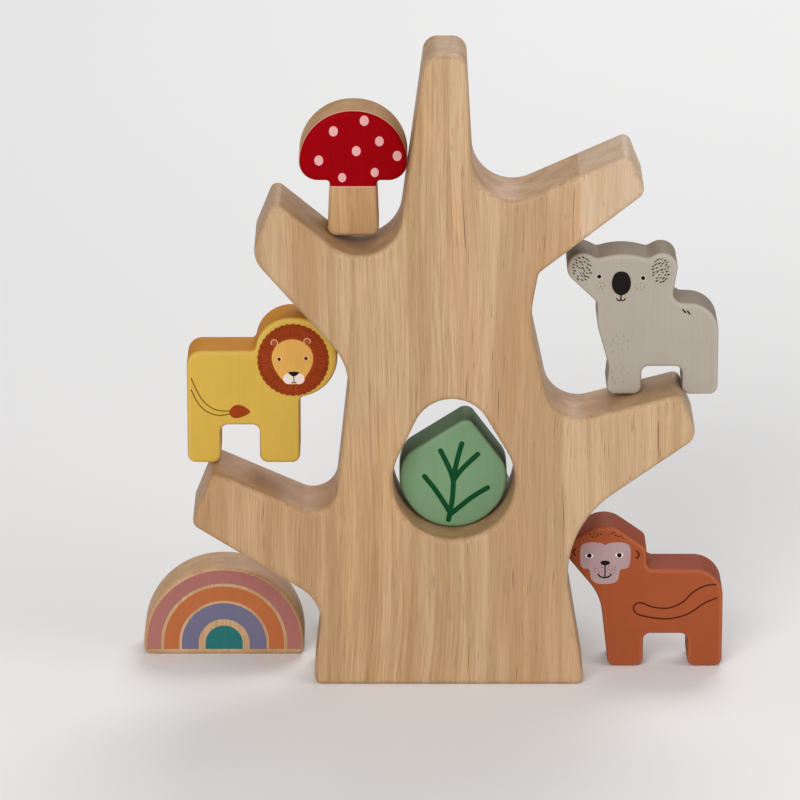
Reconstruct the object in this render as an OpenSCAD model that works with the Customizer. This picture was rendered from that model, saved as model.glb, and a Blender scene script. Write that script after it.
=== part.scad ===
// Balance tree game: a wooden tree of edge-glued boards, with loose painted blocks
// that rest on its branches, in its hole and on the table around its foot.
// Sizes in millimetres. X runs across the tree, Y to its back and Z up from the table.

/* [Tree] */
// Height of the tree, from the table to the end of the trunk
tree_h = 224; // [218:1:230]
// Thickness of the tree's boards
tree_t = 30; // [27:0.5:36]
// Width of the foot on the table
foot_w = 93.5; // [89:0.5:96]
// Width of the end of the trunk
trunk_end_w = 14; // [12:0.5:16]
// How far the end of the trunk stands left of the middle
trunk_end_shift = 1.7; // [0:0.1:3]
// Distance from the middle to the waist on the right side
waist_out = 27; // [26:0.5:28]
// Height of the waist on the right side
waist_up = 132; // [129:0.5:134]
// Radius of the rounded front and back rims of the tree
tree_rim = 2; // [1.2:0.1:2.2]

/* [Lower left branch] */
// Distance from the middle to the crook above the branch
ll_crook_out = 39.8; // [38:0.2:41]
// Height of the crook above the branch
ll_crook_up = 59; // [57:0.5:61]
// Length of the branch along its top
ll_length = 45.2; // [43:0.2:48]
// Slope of the top of the branch, in degrees
ll_slope = 24; // [22:0.5:26]
// Size of the sawn end of the branch
ll_end = 20.5; // [18.5:0.5:22]
// Distance from the middle to the root below the branch
ll_root_out = 43.5; // [42:0.2:45]
// Height of the root below the branch
ll_root_up = 30; // [28:0.5:32]

/* [Lower right branch] */
// Distance from the middle to the crook above the branch
lr_crook_out = 35.2; // [34:0.2:36]
// Height of the crook above the branch
lr_crook_up = 93.7; // [92:0.5:95]
// Length of the branch along its top
lr_length = 44.8; // [43:0.2:48]
// Slope of the top of the branch, in degrees
lr_slope = 14.9; // [13:0.5:17]
// Size of the sawn end of the branch
lr_end = 16.7; // [15:0.5:18]
// Distance from the middle to the root below the branch
lr_root_out = 37.5; // [36:0.2:39]
// Height of the root below the branch
lr_root_up = 56; // [54:0.5:58]

/* [Upper left branch] */
// Distance from the middle to the crook above the branch
ul_crook_out = 19.8; // [19:0.2:21]
// Height of the crook above the branch
ul_crook_up = 141.3; // [140:0.5:143]
// Length of the branch along its top
ul_length = 51.6; // [49:0.2:54]
// Slope of the top of the branch, in degrees
ul_slope = 39.2; // [37:0.5:41]
// Size of the sawn end of the branch
ul_end = 21.4; // [20:0.5:23]
// Distance from the middle to the root below the branch
ul_root_out = 33.7; // [32:0.2:35]
// Height of the root below the branch
ul_root_up = 115; // [113:0.5:117]

/* [Upper right branch] */
// Distance from the middle to the crook above the branch
ur_crook_out = 8.5; // [7:0.2:10]
// Height of the crook above the branch
ur_crook_up = 167; // [165:0.5:169]
// Length of the branch along its top
ur_length = 56.7; // [54:0.2:60]
// Slope of the top of the branch, in degrees
ur_slope = 24.2; // [22:0.5:26]
// Size of the sawn end of the branch
ur_end = 15; // [13.5:0.5:17]
// Distance from the middle to the root below the branch
ur_root_out = 29.8; // [28:0.2:31]
// Height of the root below the branch
ur_root_up = 148; // [146:0.5:150]

/* [Hole and glue lines] */
// Radius of the lower round of the hole
hole_r = 20.9; // [20:0.1:22]
// Radius of the upper round of the hole
hole_top_r = 13.6; // [12:0.1:15]
// Distance between the middles of the two rounds of the hole
hole_rise = 15.7; // [14:0.1:18]
// Height of the middle of the lower round of the hole
hole_up = 74; // [72:0.5:78]
// Distance of the hole to the right of the middle
hole_shift = 1.4; // [0:0.1:3]
// Width of one board of the glued panel
board_w = 43.2; // [41:0.2:45]
// Distance of the middle glue line to the right of the middle, at the table
seam_shift = 6.5; // [4:0.5:8]
// Lean of the glue lines to the left, in degrees
seam_lean = 2; // [1:0.1:3]

/* [Loose blocks] */
// Thickness of a loose block
block_t = 18; // [15:0.5:20]
// Radius of the rounded rims of a loose block
block_rim = 1.6; // [1:0.1:2]
// Radius of the corners of the animals' feet
foot_r = 2.8; // [2.2:0.1:3.4]
// Gap between a block and what it rests against
rest_gap = 0.3; // [0.2:0.05:0.5]

/* [Mushroom] */
// Height of the mushroom
mushroom_h = 44; // [42:0.2:47]
// Width of the cap
mushroom_cap_w = 36.8; // [35:0.2:39]
// Width of the stem at its foot
mushroom_stem_w = 17.6; // [16:0.2:19]
// Width of the stem under the cap
mushroom_stem_top_w = 16; // [14:0.2:17]
// Height of the stem
mushroom_stem_h = 19.4; // [18:0.2:21]

/* [Koala] */
// Length of the koala from its front leg to its rump
koala_len = 38.3; // [36:0.5:41]
// Height of the koala
koala_h = 50.4; // [48:0.2:53]
// Height of the koala's back
koala_back_h = 32; // [30:0.5:34]
// Width of the koala's legs
koala_leg_w = 12.2; // [11:0.2:13]
// Height of the koala's belly
koala_leg_h = 10; // [9:0.2:12]
// Width of the koala's head over the ears
koala_head_w = 37.6; // [35:0.2:40]
// How far the koala's head stands out in front of its leg
koala_head_out = 13.5; // [12.5:0.1:15]
// Radius of the koala's ears
koala_ear_r = 5.3; // [5:0.1:6]

/* [Lion] */
// Length of the lion from its rump to its front leg
lion_len = 38.6; // [36:0.5:41]
// Height of the lion's back
lion_back_h = 40.2; // [38:0.2:42]
// Width of the lion's hind leg
lion_hind_leg_w = 11.4; // [10.5:0.1:12.5]
// Width of the lion's front leg
lion_front_leg_w = 13.8; // [12.5:0.1:15]
// Height of the lion's belly
lion_leg_h = 13.6; // [12:0.2:15]
// Radius of the lion's head
lion_head_r = 14.2; // [13:0.1:15]
// Distance from the lion's rump to the middle of its head
lion_head_x = 37.3; // [35:0.1:39]
// Height of the middle of the lion's head
lion_head_up = 37.8; // [36:0.2:39]

/* [Bush] */
// Radius of the lower round of the bush
bush_r = 18.3; // [17:0.1:19]
// Radius of the tip of the bush
bush_tip_r = 3.6; // [3:0.1:6]
// Height of the tip above the middle of the lower round, before it is rounded
bush_rise = 21.7; // [20:0.1:23]
// Distance of the tip to the right of the middle of the bush
bush_tip_shift = 5; // [0:0.1:6]

/* [Monkey] */
// Length of the monkey from its front leg to its rump
monkey_len = 39.6; // [37:0.2:42]
// Height of the monkey to the corner of its crown, before it is rounded
monkey_h = 53.3; // [51:0.1:55]
// Height of the monkey's back
monkey_back_h = 35.8; // [34:0.2:37]
// Width of the monkey's legs
monkey_leg_w = 12.1; // [11:0.1:13]
// Height of the monkey's belly
monkey_leg_h = 12; // [11:0.2:13.5]
// Width of the monkey's head over the ears
monkey_head_w = 27; // [25:0.2:28]
// How far the monkey's head stands out in front of its leg
monkey_head_out = 14; // [13:0.1:15]
// How far the monkey stands behind the row of the other blocks
monkey_set_back = 6; // [0:0.5:12]

/* [Rainbow] */
// Radius of the rainbow
rainbow_r = 28; // [26:0.1:31]
// Height of the straight feet below the rainbow's round
rainbow_leg = 4.3; // [3.5:0.1:6]
// Gap between the rainbow and the foot of the tree
rainbow_gap = 3.8; // [2:0.1:6]
// How far the rainbow stands behind the row of the other blocks
rainbow_set_back = 18; // [0:0.5:20]

/* [Hedgehog, donkey and crocodile] */
// Length of the hedgehog
hedgehog_len = 44; // [40:0.5:46]
// Height of the hedgehog
hedgehog_h = 31; // [28:0.5:34]
// Length of the donkey from its front leg to its rump
donkey_len = 30; // [28:0.5:33]
// Height of the donkey's back
donkey_back_h = 32; // [30:0.5:35]
// Height of the donkey to the tips of its ears
donkey_h = 56; // [53:0.5:59]
// Length of the crocodile
crocodile_len = 68; // [62:0.5:72]
// Height of the crocodile's back
crocodile_h = 25; // [23:0.5:27]

/* [Hidden] */
// Angle between the points of a round, and steps in a rounded rim
arc_step = 13;
rim_steps = 2;
// Points on each of the two rounds of an egg
egg_steps = 20;
// Radius left of a round that a rim would use up
least_round = 0.05;
// How far a cutting shape runs past what it cuts
overrun = 20;
// Share of a circle's radius kept where the corners that wrap it join
wrap_share = 0.995;

// Radii of the tree's rounded corners
ll_crook_r = 8.7;
lr_crook_r = 12;
ul_crook_r = 14.5;
ur_crook_r = 14;
ll_root_r = 14;
lr_root_r = 36;
ul_root_r = 22;
ur_root_r = 3.5;
tip_top_r = 2.7;
ll_tip_r = 3.5;
lr_tip_r = 5.5;
ul_tip_r = 10;
ur_tip_r = 3.5;
waist_r = 35;
trunk_end_r = 5;
tree_foot_r = 2.6;
// Lean of the sawn branch ends, in degrees
end_lean = 22;
// Distance of the hole's upper round to the left of its lower round
hole_top_shift = 0.7;

// Radii of the animals' rounded corners
groin_r = 2.6;
rump_r = 10;

wood = "burlywood";

// Rounded outlines. A corner is [across, up, radius], and a list of corners runs
// counter-clockwise as seen from the front.

function unit(v) = v / norm(v);
function heading(a) = [cos(a), sin(a)];
function turned(v, a) = [v[0] * cos(a) - v[1] * sin(a), v[0] * sin(a) + v[1] * cos(a)];
function corner(list, i) = list[(i + len(list)) % len(list)];
function spot(list, i) = [corner(list, i)[0], corner(list, i)[1]];
function edge(list, i) = spot(list, i + 1) - spot(list, i);

// Angle turned at corner i, positive where the outline bulges
function bend(list, i) =
    let (a = edge(list, i - 1), b = edge(list, i))
    atan2(a[0] * b[1] - a[1] * b[0], a[0] * b[0] + a[1] * b[1]);

// Length of edge that the full round of corner i takes up
function reach(list, i) = corner(list, i)[2] * tan(abs(bend(list, i)) / 2);

// Radius of the round at corner i, limited so that its neighbours fit beside it
function round_r(list, i) = corner(list, i)[2] * min(
    1,
    norm(edge(list, i - 1)) / (reach(list, i - 1) + reach(list, i)),
    norm(edge(list, i)) / (reach(list, i) + reach(list, i + 1))
);

// Middle of the round at corner i
function round_c(list, i) =
    let (a = unit(edge(list, i - 1)), b = unit(edge(list, i)))
    spot(list, i) + unit(b - a) * round_r(list, i) / cos(bend(list, i) / 2);

// Points of the outline, moved inwards by inset
function outline(list, inset) = [
    for (i = [0 : len(list) - 1])
        let (
            angle = bend(list, i),
            side = sign(angle),
            a = unit(edge(list, i - 1)),
            r = max(least_round, round_r(list, i) - side * inset),
            steps = max(2, ceil(abs(angle) / arc_step))
        )
        for (k = [0 : steps])
            round_c(list, i) + side * r * turned([a[1], -a[0]], angle * k / steps)
];

// Corners that wrap a circle between the headings of a list
function wrap(c, r, headings) = [
    for (i = [0 : len(headings) - 2])
        let (half = (headings[i + 1] - headings[i]) / 2, at = c + r / cos(half) * heading(headings[i] + half))
        [at[0], at[1], wrap_share * r]
];

// Points of an egg: the outline round a large circle and a small one, moved inwards by inset
function egg(c, r, top_c, top_r, inset) =
    let (
        axis = top_c - c,
        lean = atan2(axis[1], axis[0]),
        half = acos((r - top_r) / norm(axis))
    )
    concat(
        [for (k = [0 : egg_steps]) top_c + (top_r - inset) * heading(lean + half * (2 * k / egg_steps - 1))],
        [for (k = [0 : egg_steps]) c + (r - inset) * heading(lean + half + (360 - 2 * half) * k / egg_steps)]
    );

// Triangles that fill an outline, as places in its list of points: one ear is cut off at a time
function side_of(a, b, p) = (b[0] - a[0]) * (p[1] - a[1]) - (b[1] - a[1]) * (p[0] - a[0]);
function in_triangle(a, b, c, p) = side_of(a, b, p) >= 0 && side_of(b, c, p) >= 0 && side_of(c, a, p) >= 0;
function is_ear(points, before, at, after, ring) =
    let (a = points[before], b = points[at], c = points[after])
    side_of(a, b, c) > 0
    && len([
        for (j = ring)
            if (j != before && j != at && j != after && in_triangle(a, b, c, points[j])) j
    ]) == 0;
function find_ear(points, ring, i) =
    let (n = len(ring))
    i == n - 1 || is_ear(points, ring[(i + n - 1) % n], ring[i], ring[(i + 1) % n], ring)
        ? i
        : find_ear(points, ring, i + 1);
function filled(points, ring) =
    let (n = len(ring))
    n == 3
        ? [ring]
        : let (i = find_ear(points, ring, 0))
            concat(
                [[ring[(i + n - 1) % n], ring[i], ring[(i + 1) % n]]],
                filled(points, [for (k = [0 : n - 1]) if (k != i) ring[k]])
            );

// Inset and depth of each slice through a board whose rims are rounded
function front_rim(rim) = [
    for (k = [0 : rim_steps]) let (a = 90 * k / rim_steps) rim * [1 - sin(a), 1 - cos(a)]
];
function slices(thick, rim) = concat(
    [for (s = front_rim(rim)) [s[0], s[1] - thick / 2]],
    [for (k = [rim_steps : -1 : 0]) let (s = front_rim(rim)[k]) [s[0], thick / 2 - s[1]]]
);

// Slices of a cutter that leaves rounded rims round a hole in the same board
function hole_slices(thick, rim) = concat(
    [[-rim, -thick / 2 - overrun]],
    [for (s = slices(thick, rim)) [-s[0], s[1]]],
    [[-rim, thick / 2 + overrun]]
);

// Solid through a row of outlines that have the same number of points
module lofted(rings, depths) {
    count = len(rings[0]);
    last = len(rings) - 1;
    face = filled(rings[0], [for (k = [0 : count - 1]) k]);
    polyhedron(
        points = [for (i = [0 : last]) for (p = rings[i]) [p[0], depths[i], p[1]]],
        faces = concat(
            [for (f = face) [f[2], f[1], f[0]]],
            [
                for (i = [0 : last - 1])
                    for (k = [0 : count - 1])
                        let (next = (k + 1) % count)
                        [i * count + k, i * count + next, (i + 1) * count + next, (i + 1) * count + k]
            ],
            [for (f = face) [for (k = f) last * count + k]]
        )
    );
}

// Board with the outline of a list of corners
module sawn(list, thick, rim) {
    cuts = slices(thick, rim);
    lofted([for (s = cuts) outline(list, s[0])], [for (s = cuts) s[1]]);
}

// Tree

// Corners of a branch on one side (-1 left, 1 right)
function branch_crook(side, out, up) = [side * out, up];
function branch_tip(side, out, up, length, slope) =
    [side * out, up] + length * [side * cos(slope), sin(slope)];
function branch_low(side, tip, size) = tip + size * [side * sin(end_lean), -cos(end_lean)];

ll_crook = branch_crook(-1, ll_crook_out, ll_crook_up);
ll_tip = branch_tip(-1, ll_crook_out, ll_crook_up, ll_length, ll_slope);
ll_low = branch_low(-1, ll_tip, ll_end);
ll_root = [-ll_root_out, ll_root_up];
lr_crook = branch_crook(1, lr_crook_out, lr_crook_up);
lr_tip = branch_tip(1, lr_crook_out, lr_crook_up, lr_length, lr_slope);
lr_low = branch_low(1, lr_tip, lr_end);
lr_root = [lr_root_out, lr_root_up];
ul_crook = branch_crook(-1, ul_crook_out, ul_crook_up);
ul_tip = branch_tip(-1, ul_crook_out, ul_crook_up, ul_length, ul_slope);
ul_low = branch_low(-1, ul_tip, ul_end);
ul_root = [-ul_root_out, ul_root_up];
ur_crook = branch_crook(1, ur_crook_out, ur_crook_up);
ur_tip = branch_tip(1, ur_crook_out, ur_crook_up, ur_length, ur_slope);
ur_low = branch_low(1, ur_tip, ur_end);
ur_root = [ur_root_out, ur_root_up];
trunk_end_left = [-trunk_end_shift - trunk_end_w / 2, tree_h];
trunk_end_right = [-trunk_end_shift + trunk_end_w / 2, tree_h];

function rounded(at, r) = [at[0], at[1], r];

tree_corners = [
    [-foot_w / 2, 0, tree_foot_r],
    [foot_w / 2, 0, tree_foot_r],
    rounded(lr_root, lr_root_r),
    rounded(lr_low, lr_tip_r),
    rounded(lr_tip, tip_top_r),
    rounded(lr_crook, lr_crook_r),
    [waist_out, waist_up, waist_r],
    rounded(ur_root, ur_root_r),
    rounded(ur_low, ur_tip_r),
    rounded(ur_tip, tip_top_r),
    rounded(ur_crook, ur_crook_r),
    rounded(trunk_end_right, trunk_end_r),
    rounded(trunk_end_left, trunk_end_r),
    rounded(ul_crook, ul_crook_r),
    rounded(ul_tip, tip_top_r),
    rounded(ul_low, ul_tip_r),
    rounded(ul_root, ul_root_r),
    rounded(ll_crook, ll_crook_r),
    rounded(ll_tip, tip_top_r),
    rounded(ll_low, ll_tip_r),
    rounded(ll_root, ll_root_r)
];
lr_root_corner = 2;
ul_root_corner = 16;
ll_tip_corner = 18;

hole_c = [hole_shift, hole_up];
hole_top_c = hole_c + [-hole_top_shift, hole_rise];

// Whole tree before it is told apart into its boards
module tree_blank() {
    cuts = hole_slices(tree_t, tree_rim);
    difference() {
        sawn(tree_corners, tree_t, tree_rim);
        lofted(
            [for (s = cuts) egg(hole_c, hole_r, hole_top_c, hole_top_r, s[0])],
            [for (s = cuts) s[1]]
        );
    }
}

// Heights between which the branches on each side lie apart
left_split = (ll_tip[1] + ul_root[1]) / 2;
right_split = (lr_tip[1] + ur_root[1]) / 2;
// Height up to which the right foot is one with the right trunk board
foot_split = lr_root_up / 2;
below = -overrun;
above = tree_h + overrun;
// Distance past every branch tip
far_out = foot_w + ll_length + ur_length;

// Place of glue line n at a height, with the middle line as 0
function seam(n, up) = [seam_shift + n * board_w - up * tan(seam_lean), up];

// Part of the tree inside a window through its whole thickness
module glued_board(window) {
    color(wood) intersection() {
        tree_blank();
        rotate([90, 0, 0]) linear_extrude(tree_t + overrun, center = true) polygon(window);
    }
}

module left_trunk_board() {
    glued_board([seam(-1, below), seam(0, below), seam(0, above), seam(-1, above)]);
}

module right_trunk_board() {
    glued_board([
        seam(0, below),
        [far_out, below],
        [far_out, foot_split],
        seam(1, foot_split),
        seam(1, above),
        seam(0, above)
    ]);
}

module upper_left_branch_board() {
    glued_board([[-far_out, left_split], seam(-1, left_split), seam(-1, above), [-far_out, above]]);
}

module lower_left_branch_board() {
    glued_board([[-far_out, below], seam(-1, below), seam(-1, left_split), [-far_out, left_split]]);
}

module upper_right_branch_board() {
    glued_board([seam(1, right_split), [far_out, right_split], [far_out, above], seam(1, above)]);
}

module lower_right_branch_board() {
    glued_board([
        seam(1, foot_split),
        [far_out, foot_split],
        [far_out, right_split],
        seam(1, right_split)
    ]);
}

// Seats. A block rests where two of its rounds each lie rest_gap from a straight edge
// of the tree.

// Direction square to the edge from a to b, on its left
function left_of(a, b) = turned(unit(b - a), 90);

// Offset at which round c of radius r lies rest_gap from the line through a with normal n
function seat_offset(a, n, c, r) = r + rest_gap - n * (c - a);

// Point where two such offsets hold at once
function seat(n1, d1, n2, d2) =
    [d1 * n2[1] - d2 * n1[1], n1[0] * d2 - n2[0] * d1] / (n1[0] * n2[1] - n1[1] * n2[0]);

// Loose blocks lie flush with the back of the tree
block_y = (tree_t - block_t) / 2;

// Puts a block with its own origin at a place on the tree or table
module placed(at, depth) translate([at[0], depth, at[1]]) children();

// Mushroom, in the crook of the upper left branch

mushroom_stem_r = 2.8;
mushroom_cap_r = 6.5;
mushroom_neck_r = 1.2;
// Flat left at the top between the two quarter rounds of the cap
mushroom_flat = 0.4;
mushroom_dome_r = mushroom_cap_w / 2 - mushroom_flat;
mushroom_corners = [
    [-mushroom_stem_w / 2, 0, mushroom_stem_r],
    [mushroom_stem_w / 2, 0, mushroom_stem_r],
    [mushroom_stem_top_w / 2, mushroom_stem_h, mushroom_neck_r],
    [mushroom_cap_w / 2, mushroom_stem_h, mushroom_cap_r],
    [mushroom_cap_w / 2, mushroom_h, mushroom_dome_r],
    [-mushroom_cap_w / 2, mushroom_h, mushroom_dome_r],
    [-mushroom_cap_w / 2, mushroom_stem_h, mushroom_cap_r],
    [-mushroom_stem_top_w / 2, mushroom_stem_h, mushroom_neck_r]
];
mushroom_stem_corner = 0;
mushroom_cap_corner = 3;
trunk_left_n = left_of(ul_crook, trunk_end_left);
ul_top_n = left_of(ul_tip, ul_crook);
mushroom_at = seat(
    trunk_left_n,
    seat_offset(ul_crook, trunk_left_n,
        round_c(mushroom_corners, mushroom_cap_corner), round_r(mushroom_corners, mushroom_cap_corner)),
    ul_top_n,
    seat_offset(ul_crook, ul_top_n,
        round_c(mushroom_corners, mushroom_stem_corner), round_r(mushroom_corners, mushroom_stem_corner))
);

module mushroom_block() {
    color("firebrick") placed(mushroom_at, block_y) sawn(mushroom_corners, block_t, block_rim);
}

// Koala, astride the end of the lower right branch

koala_left = -koala_head_out;
koala_right = koala_head_w - koala_head_out;
koala_middle = (koala_left + koala_right) / 2;
koala_left_ear = [koala_left + koala_ear_r, koala_h - koala_ear_r];
koala_right_ear = [koala_right - koala_ear_r, koala_h - koala_ear_r];
// Headings from the middle of the right ear to the nape, its tip and the crown
koala_right_ear_turns = [-9, 54, 118];
// Headings from the middle of the left ear to the crown, its tip, its side and the cheek
koala_left_ear_turns = [62, 118, 173, 229];
koala_ear_dip = 1.9;
koala_dip_h = koala_h - koala_ear_dip;
koala_crown = 0.3;
koala_crown_r = 24;
koala_dip_r = 2.4;
koala_neck_rise = 0.8;
koala_neck_h = koala_back_h + koala_neck_rise;
koala_neck_in = 2;
koala_neck_r = 3.6;
koala_chest_out = 3.2;
koala_chest_drop = 7;
koala_chest_h = koala_back_h - koala_chest_drop;
koala_chest_r = 15;
koala_knee_in = 1;
koala_knee_r = 9;

// Corner where the side of an ear that leaves it at heading a comes down to the crown
function koala_dip(c, a) = [
    c[0] + (koala_ear_r - sin(a) * (koala_dip_h - c[1])) / cos(a),
    koala_dip_h,
    koala_dip_r
];
koala_corners = concat(
    [
        [0, 0, foot_r],
        [koala_leg_w, 0, foot_r],
        [koala_leg_w, koala_leg_h, groin_r],
        [koala_len - koala_leg_w, koala_leg_h, groin_r],
        [koala_len - koala_leg_w, 0, foot_r],
        [koala_len, 0, foot_r],
        [koala_len, koala_back_h, rump_r],
        [koala_right - koala_neck_in, koala_neck_h, koala_neck_r]
    ],
    wrap(koala_right_ear, koala_ear_r, koala_right_ear_turns),
    [
        koala_dip(koala_right_ear, koala_right_ear_turns[2]),
        [koala_middle, koala_h + koala_crown, koala_crown_r],
        koala_dip(koala_left_ear, koala_left_ear_turns[0])
    ],
    wrap(koala_left_ear, koala_ear_r, koala_left_ear_turns),
    [
        [-koala_chest_out, koala_neck_h, koala_neck_r],
        [-koala_chest_out, koala_chest_h, koala_chest_r],
        [koala_knee_in, koala_leg_h, koala_knee_r]
    ]
);
koala_front_foot = 1;
koala_hind_foot = 4;
lr_top_n = left_of(lr_crook, lr_tip);
lr_end_n = left_of(lr_low, lr_tip) * -1;
koala_at = seat(
    lr_top_n,
    seat_offset(lr_crook, lr_top_n,
        round_c(koala_corners, koala_front_foot), round_r(koala_corners, koala_front_foot)),
    lr_end_n,
    seat_offset(lr_tip, lr_end_n,
        round_c(koala_corners, koala_hind_foot), round_r(koala_corners, koala_hind_foot))
);

module koala_block() {
    color("darkgray") placed(koala_at, block_y) sawn(koala_corners, block_t, block_rim);
}

// Lion, on the end of the lower left branch with its head under the upper left one

lion_head_c = [lion_head_x, lion_head_up];
// Headings from the middle of the head to its chin, cheek, crown and nape
lion_chin = -78;
lion_cheek = 5;
lion_crown = 88;
lion_nape = 171;
lion_notch_r = 2;
lion_rump_r = 5;
// Height at which the chest meets the head, and distance at which the back does
lion_chin_up = lion_head_up
    + (lion_head_r - cos(lion_chin) * (lion_len - lion_head_x)) / sin(lion_chin);
lion_nape_x = lion_head_x
    + (lion_head_r - sin(lion_nape) * (lion_back_h - lion_head_up)) / cos(lion_nape);
lion_corners = concat(
    [
        [0, 0, foot_r],
        [lion_hind_leg_w, 0, foot_r],
        [lion_hind_leg_w, lion_leg_h, groin_r],
        [lion_len - lion_front_leg_w, lion_leg_h, groin_r],
        [lion_len - lion_front_leg_w, 0, foot_r],
        [lion_len, 0, foot_r],
        [lion_len, lion_chin_up, lion_notch_r]
    ],
    wrap(lion_head_c, lion_head_r, [lion_chin, lion_cheek, lion_crown, lion_nape]),
    [
        [lion_nape_x, lion_back_h, lion_notch_r],
        [0, lion_back_h, lion_rump_r]
    ]
);
lion_room = lion_head_r + rest_gap;
// Height at which the hind foot stands on the branch, and of the middle of the head there
lion_up = round_c(tree_corners, ll_tip_corner)[1] + round_r(tree_corners, ll_tip_corner) + rest_gap;
lion_head_at_up = lion_up + lion_head_up;

// Place across at which the head lies against the edge through a with normal n
function lion_head_against(a, n) = a[0] + (lion_room - n[1] * (lion_head_at_up - a[1])) / n[0];

// The head lies against the trunk, the branch or the round between them
ul_under_n = left_of(ul_low, ul_root) * -1;
trunk_low_left_n = left_of(ul_root, ll_crook) * -1;
ul_root_c = round_c(tree_corners, ul_root_corner);
ul_root_room = round_r(tree_corners, ul_root_corner) * cos(arc_step / 2) - lion_room;
lion_meets_round = lion_head_at_up > ul_root_c[1] - ul_root_room * trunk_low_left_n[1]
    && lion_head_at_up < ul_root_c[1] - ul_root_room * ul_under_n[1];
lion_head_at = lion_meets_round
    ? ul_root_c[0] + sqrt(pow(ul_root_room, 2) - pow(lion_head_at_up - ul_root_c[1], 2))
    : min(lion_head_against(ul_root, ul_under_n), lion_head_against(ul_root, trunk_low_left_n));
lion_at = [lion_head_at - lion_head_x, lion_up];

module lion_block() {
    color("goldenrod") placed(lion_at, block_y) sawn(lion_corners, block_t, block_rim);
}

// Bush, at the bottom of the hole

bush_c = hole_c - [0, hole_r - bush_r - rest_gap];
// Headings from the middle of the lower round to its left side, its bottom and its right side
bush_round = [158, 211, 264, 317, 371];
// Headings to the shoulders, from which straight sides rise to the tip
bush_right_shoulder = 15;
bush_left_shoulder = 154;
bush_shoulder_r = 10;
bush_corners = concat(
    wrap(bush_c, bush_r, bush_round),
    [
        rounded(bush_c + bush_r * heading(bush_right_shoulder), bush_shoulder_r),
        rounded(bush_c + [bush_tip_shift, bush_rise], bush_tip_r),
        rounded(bush_c + bush_r * heading(bush_left_shoulder), bush_shoulder_r)
    ]
);

module bush_block() {
    color("darkseagreen") placed([0, 0], block_y) sawn(bush_corners, block_t, block_rim);
}

// Monkey, on the table to the right of the foot

monkey_left = -monkey_head_out;
monkey_right = monkey_head_w - monkey_head_out;
monkey_crown_shift = 0.6;
monkey_crown_x = (monkey_left + monkey_right) / 2 - monkey_crown_shift;
monkey_crown_r = 9.5;
monkey_right_ear_drop = 10;
monkey_right_ear_h = monkey_h - monkey_right_ear_drop;
monkey_left_ear_drop = 7.8;
monkey_left_ear_h = monkey_h - monkey_left_ear_drop;
monkey_ear_r = 3;
monkey_cheek_drop = 13.8;
monkey_cheek_h = monkey_h - monkey_cheek_drop;
monkey_cheek_r = 4;
monkey_nape_r = 2.5;
monkey_chest_out = 3;
monkey_chest_drop = 9.8;
monkey_chest_h = monkey_back_h - monkey_chest_drop;
monkey_chest_r = 20;
monkey_corners = [
    [0, 0, foot_r],
    [monkey_leg_w, 0, foot_r],
    [monkey_leg_w, monkey_leg_h, groin_r],
    [monkey_len - monkey_leg_w, monkey_leg_h, groin_r],
    [monkey_len - monkey_leg_w, 0, foot_r],
    [monkey_len, 0, foot_r],
    [monkey_len, monkey_back_h, rump_r],
    [monkey_right, monkey_back_h, monkey_nape_r],
    [monkey_right, monkey_right_ear_h, monkey_ear_r],
    [monkey_crown_x, monkey_h, monkey_crown_r],
    [monkey_left, monkey_left_ear_h, monkey_ear_r],
    [monkey_left, monkey_cheek_h, monkey_cheek_r],
    [-monkey_chest_out, monkey_chest_h, monkey_chest_r]
];
monkey_left_ear = 10;
// The round of the ear lies rest_gap inside the chords of the round under the lower right branch
monkey_ear_c = round_c(monkey_corners, monkey_left_ear);
lr_root_c = round_c(tree_corners, lr_root_corner);
monkey_ear_room = round_r(tree_corners, lr_root_corner) * cos(arc_step / 2)
    - round_r(monkey_corners, monkey_left_ear) - rest_gap;
monkey_at = [
    lr_root_c[0] - monkey_ear_c[0]
        - sqrt(pow(monkey_ear_room, 2) - pow(monkey_ear_c[1] - lr_root_c[1], 2)),
    0
];

module monkey_block() {
    color("sienna") placed(monkey_at, block_y + monkey_set_back)
        sawn(monkey_corners, block_t, block_rim);
}

// Rainbow, on the table to the left of the foot

rainbow_foot_r = 2.5;
// Flat left at the top between the two quarter rounds
rainbow_flat = 0.4;
rainbow_corners = [
    [-rainbow_r, 0, rainbow_foot_r],
    [rainbow_r, 0, rainbow_foot_r],
    [rainbow_r, rainbow_r + rainbow_leg, rainbow_r - rainbow_flat],
    [-rainbow_r, rainbow_r + rainbow_leg, rainbow_r - rainbow_flat]
];
rainbow_at = [-foot_w / 2 - rainbow_gap - rainbow_r, 0];

module rainbow_block() {
    color("rosybrown") placed(rainbow_at, block_y + rainbow_set_back)
        sawn(rainbow_corners, block_t, block_rim);
}

// Crocodile, hedgehog and donkey, which stand in two rows close behind the tree

first_row_y = (tree_t + block_t) / 2 + rest_gap;
second_row_y = first_row_y + block_t + rest_gap;

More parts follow.
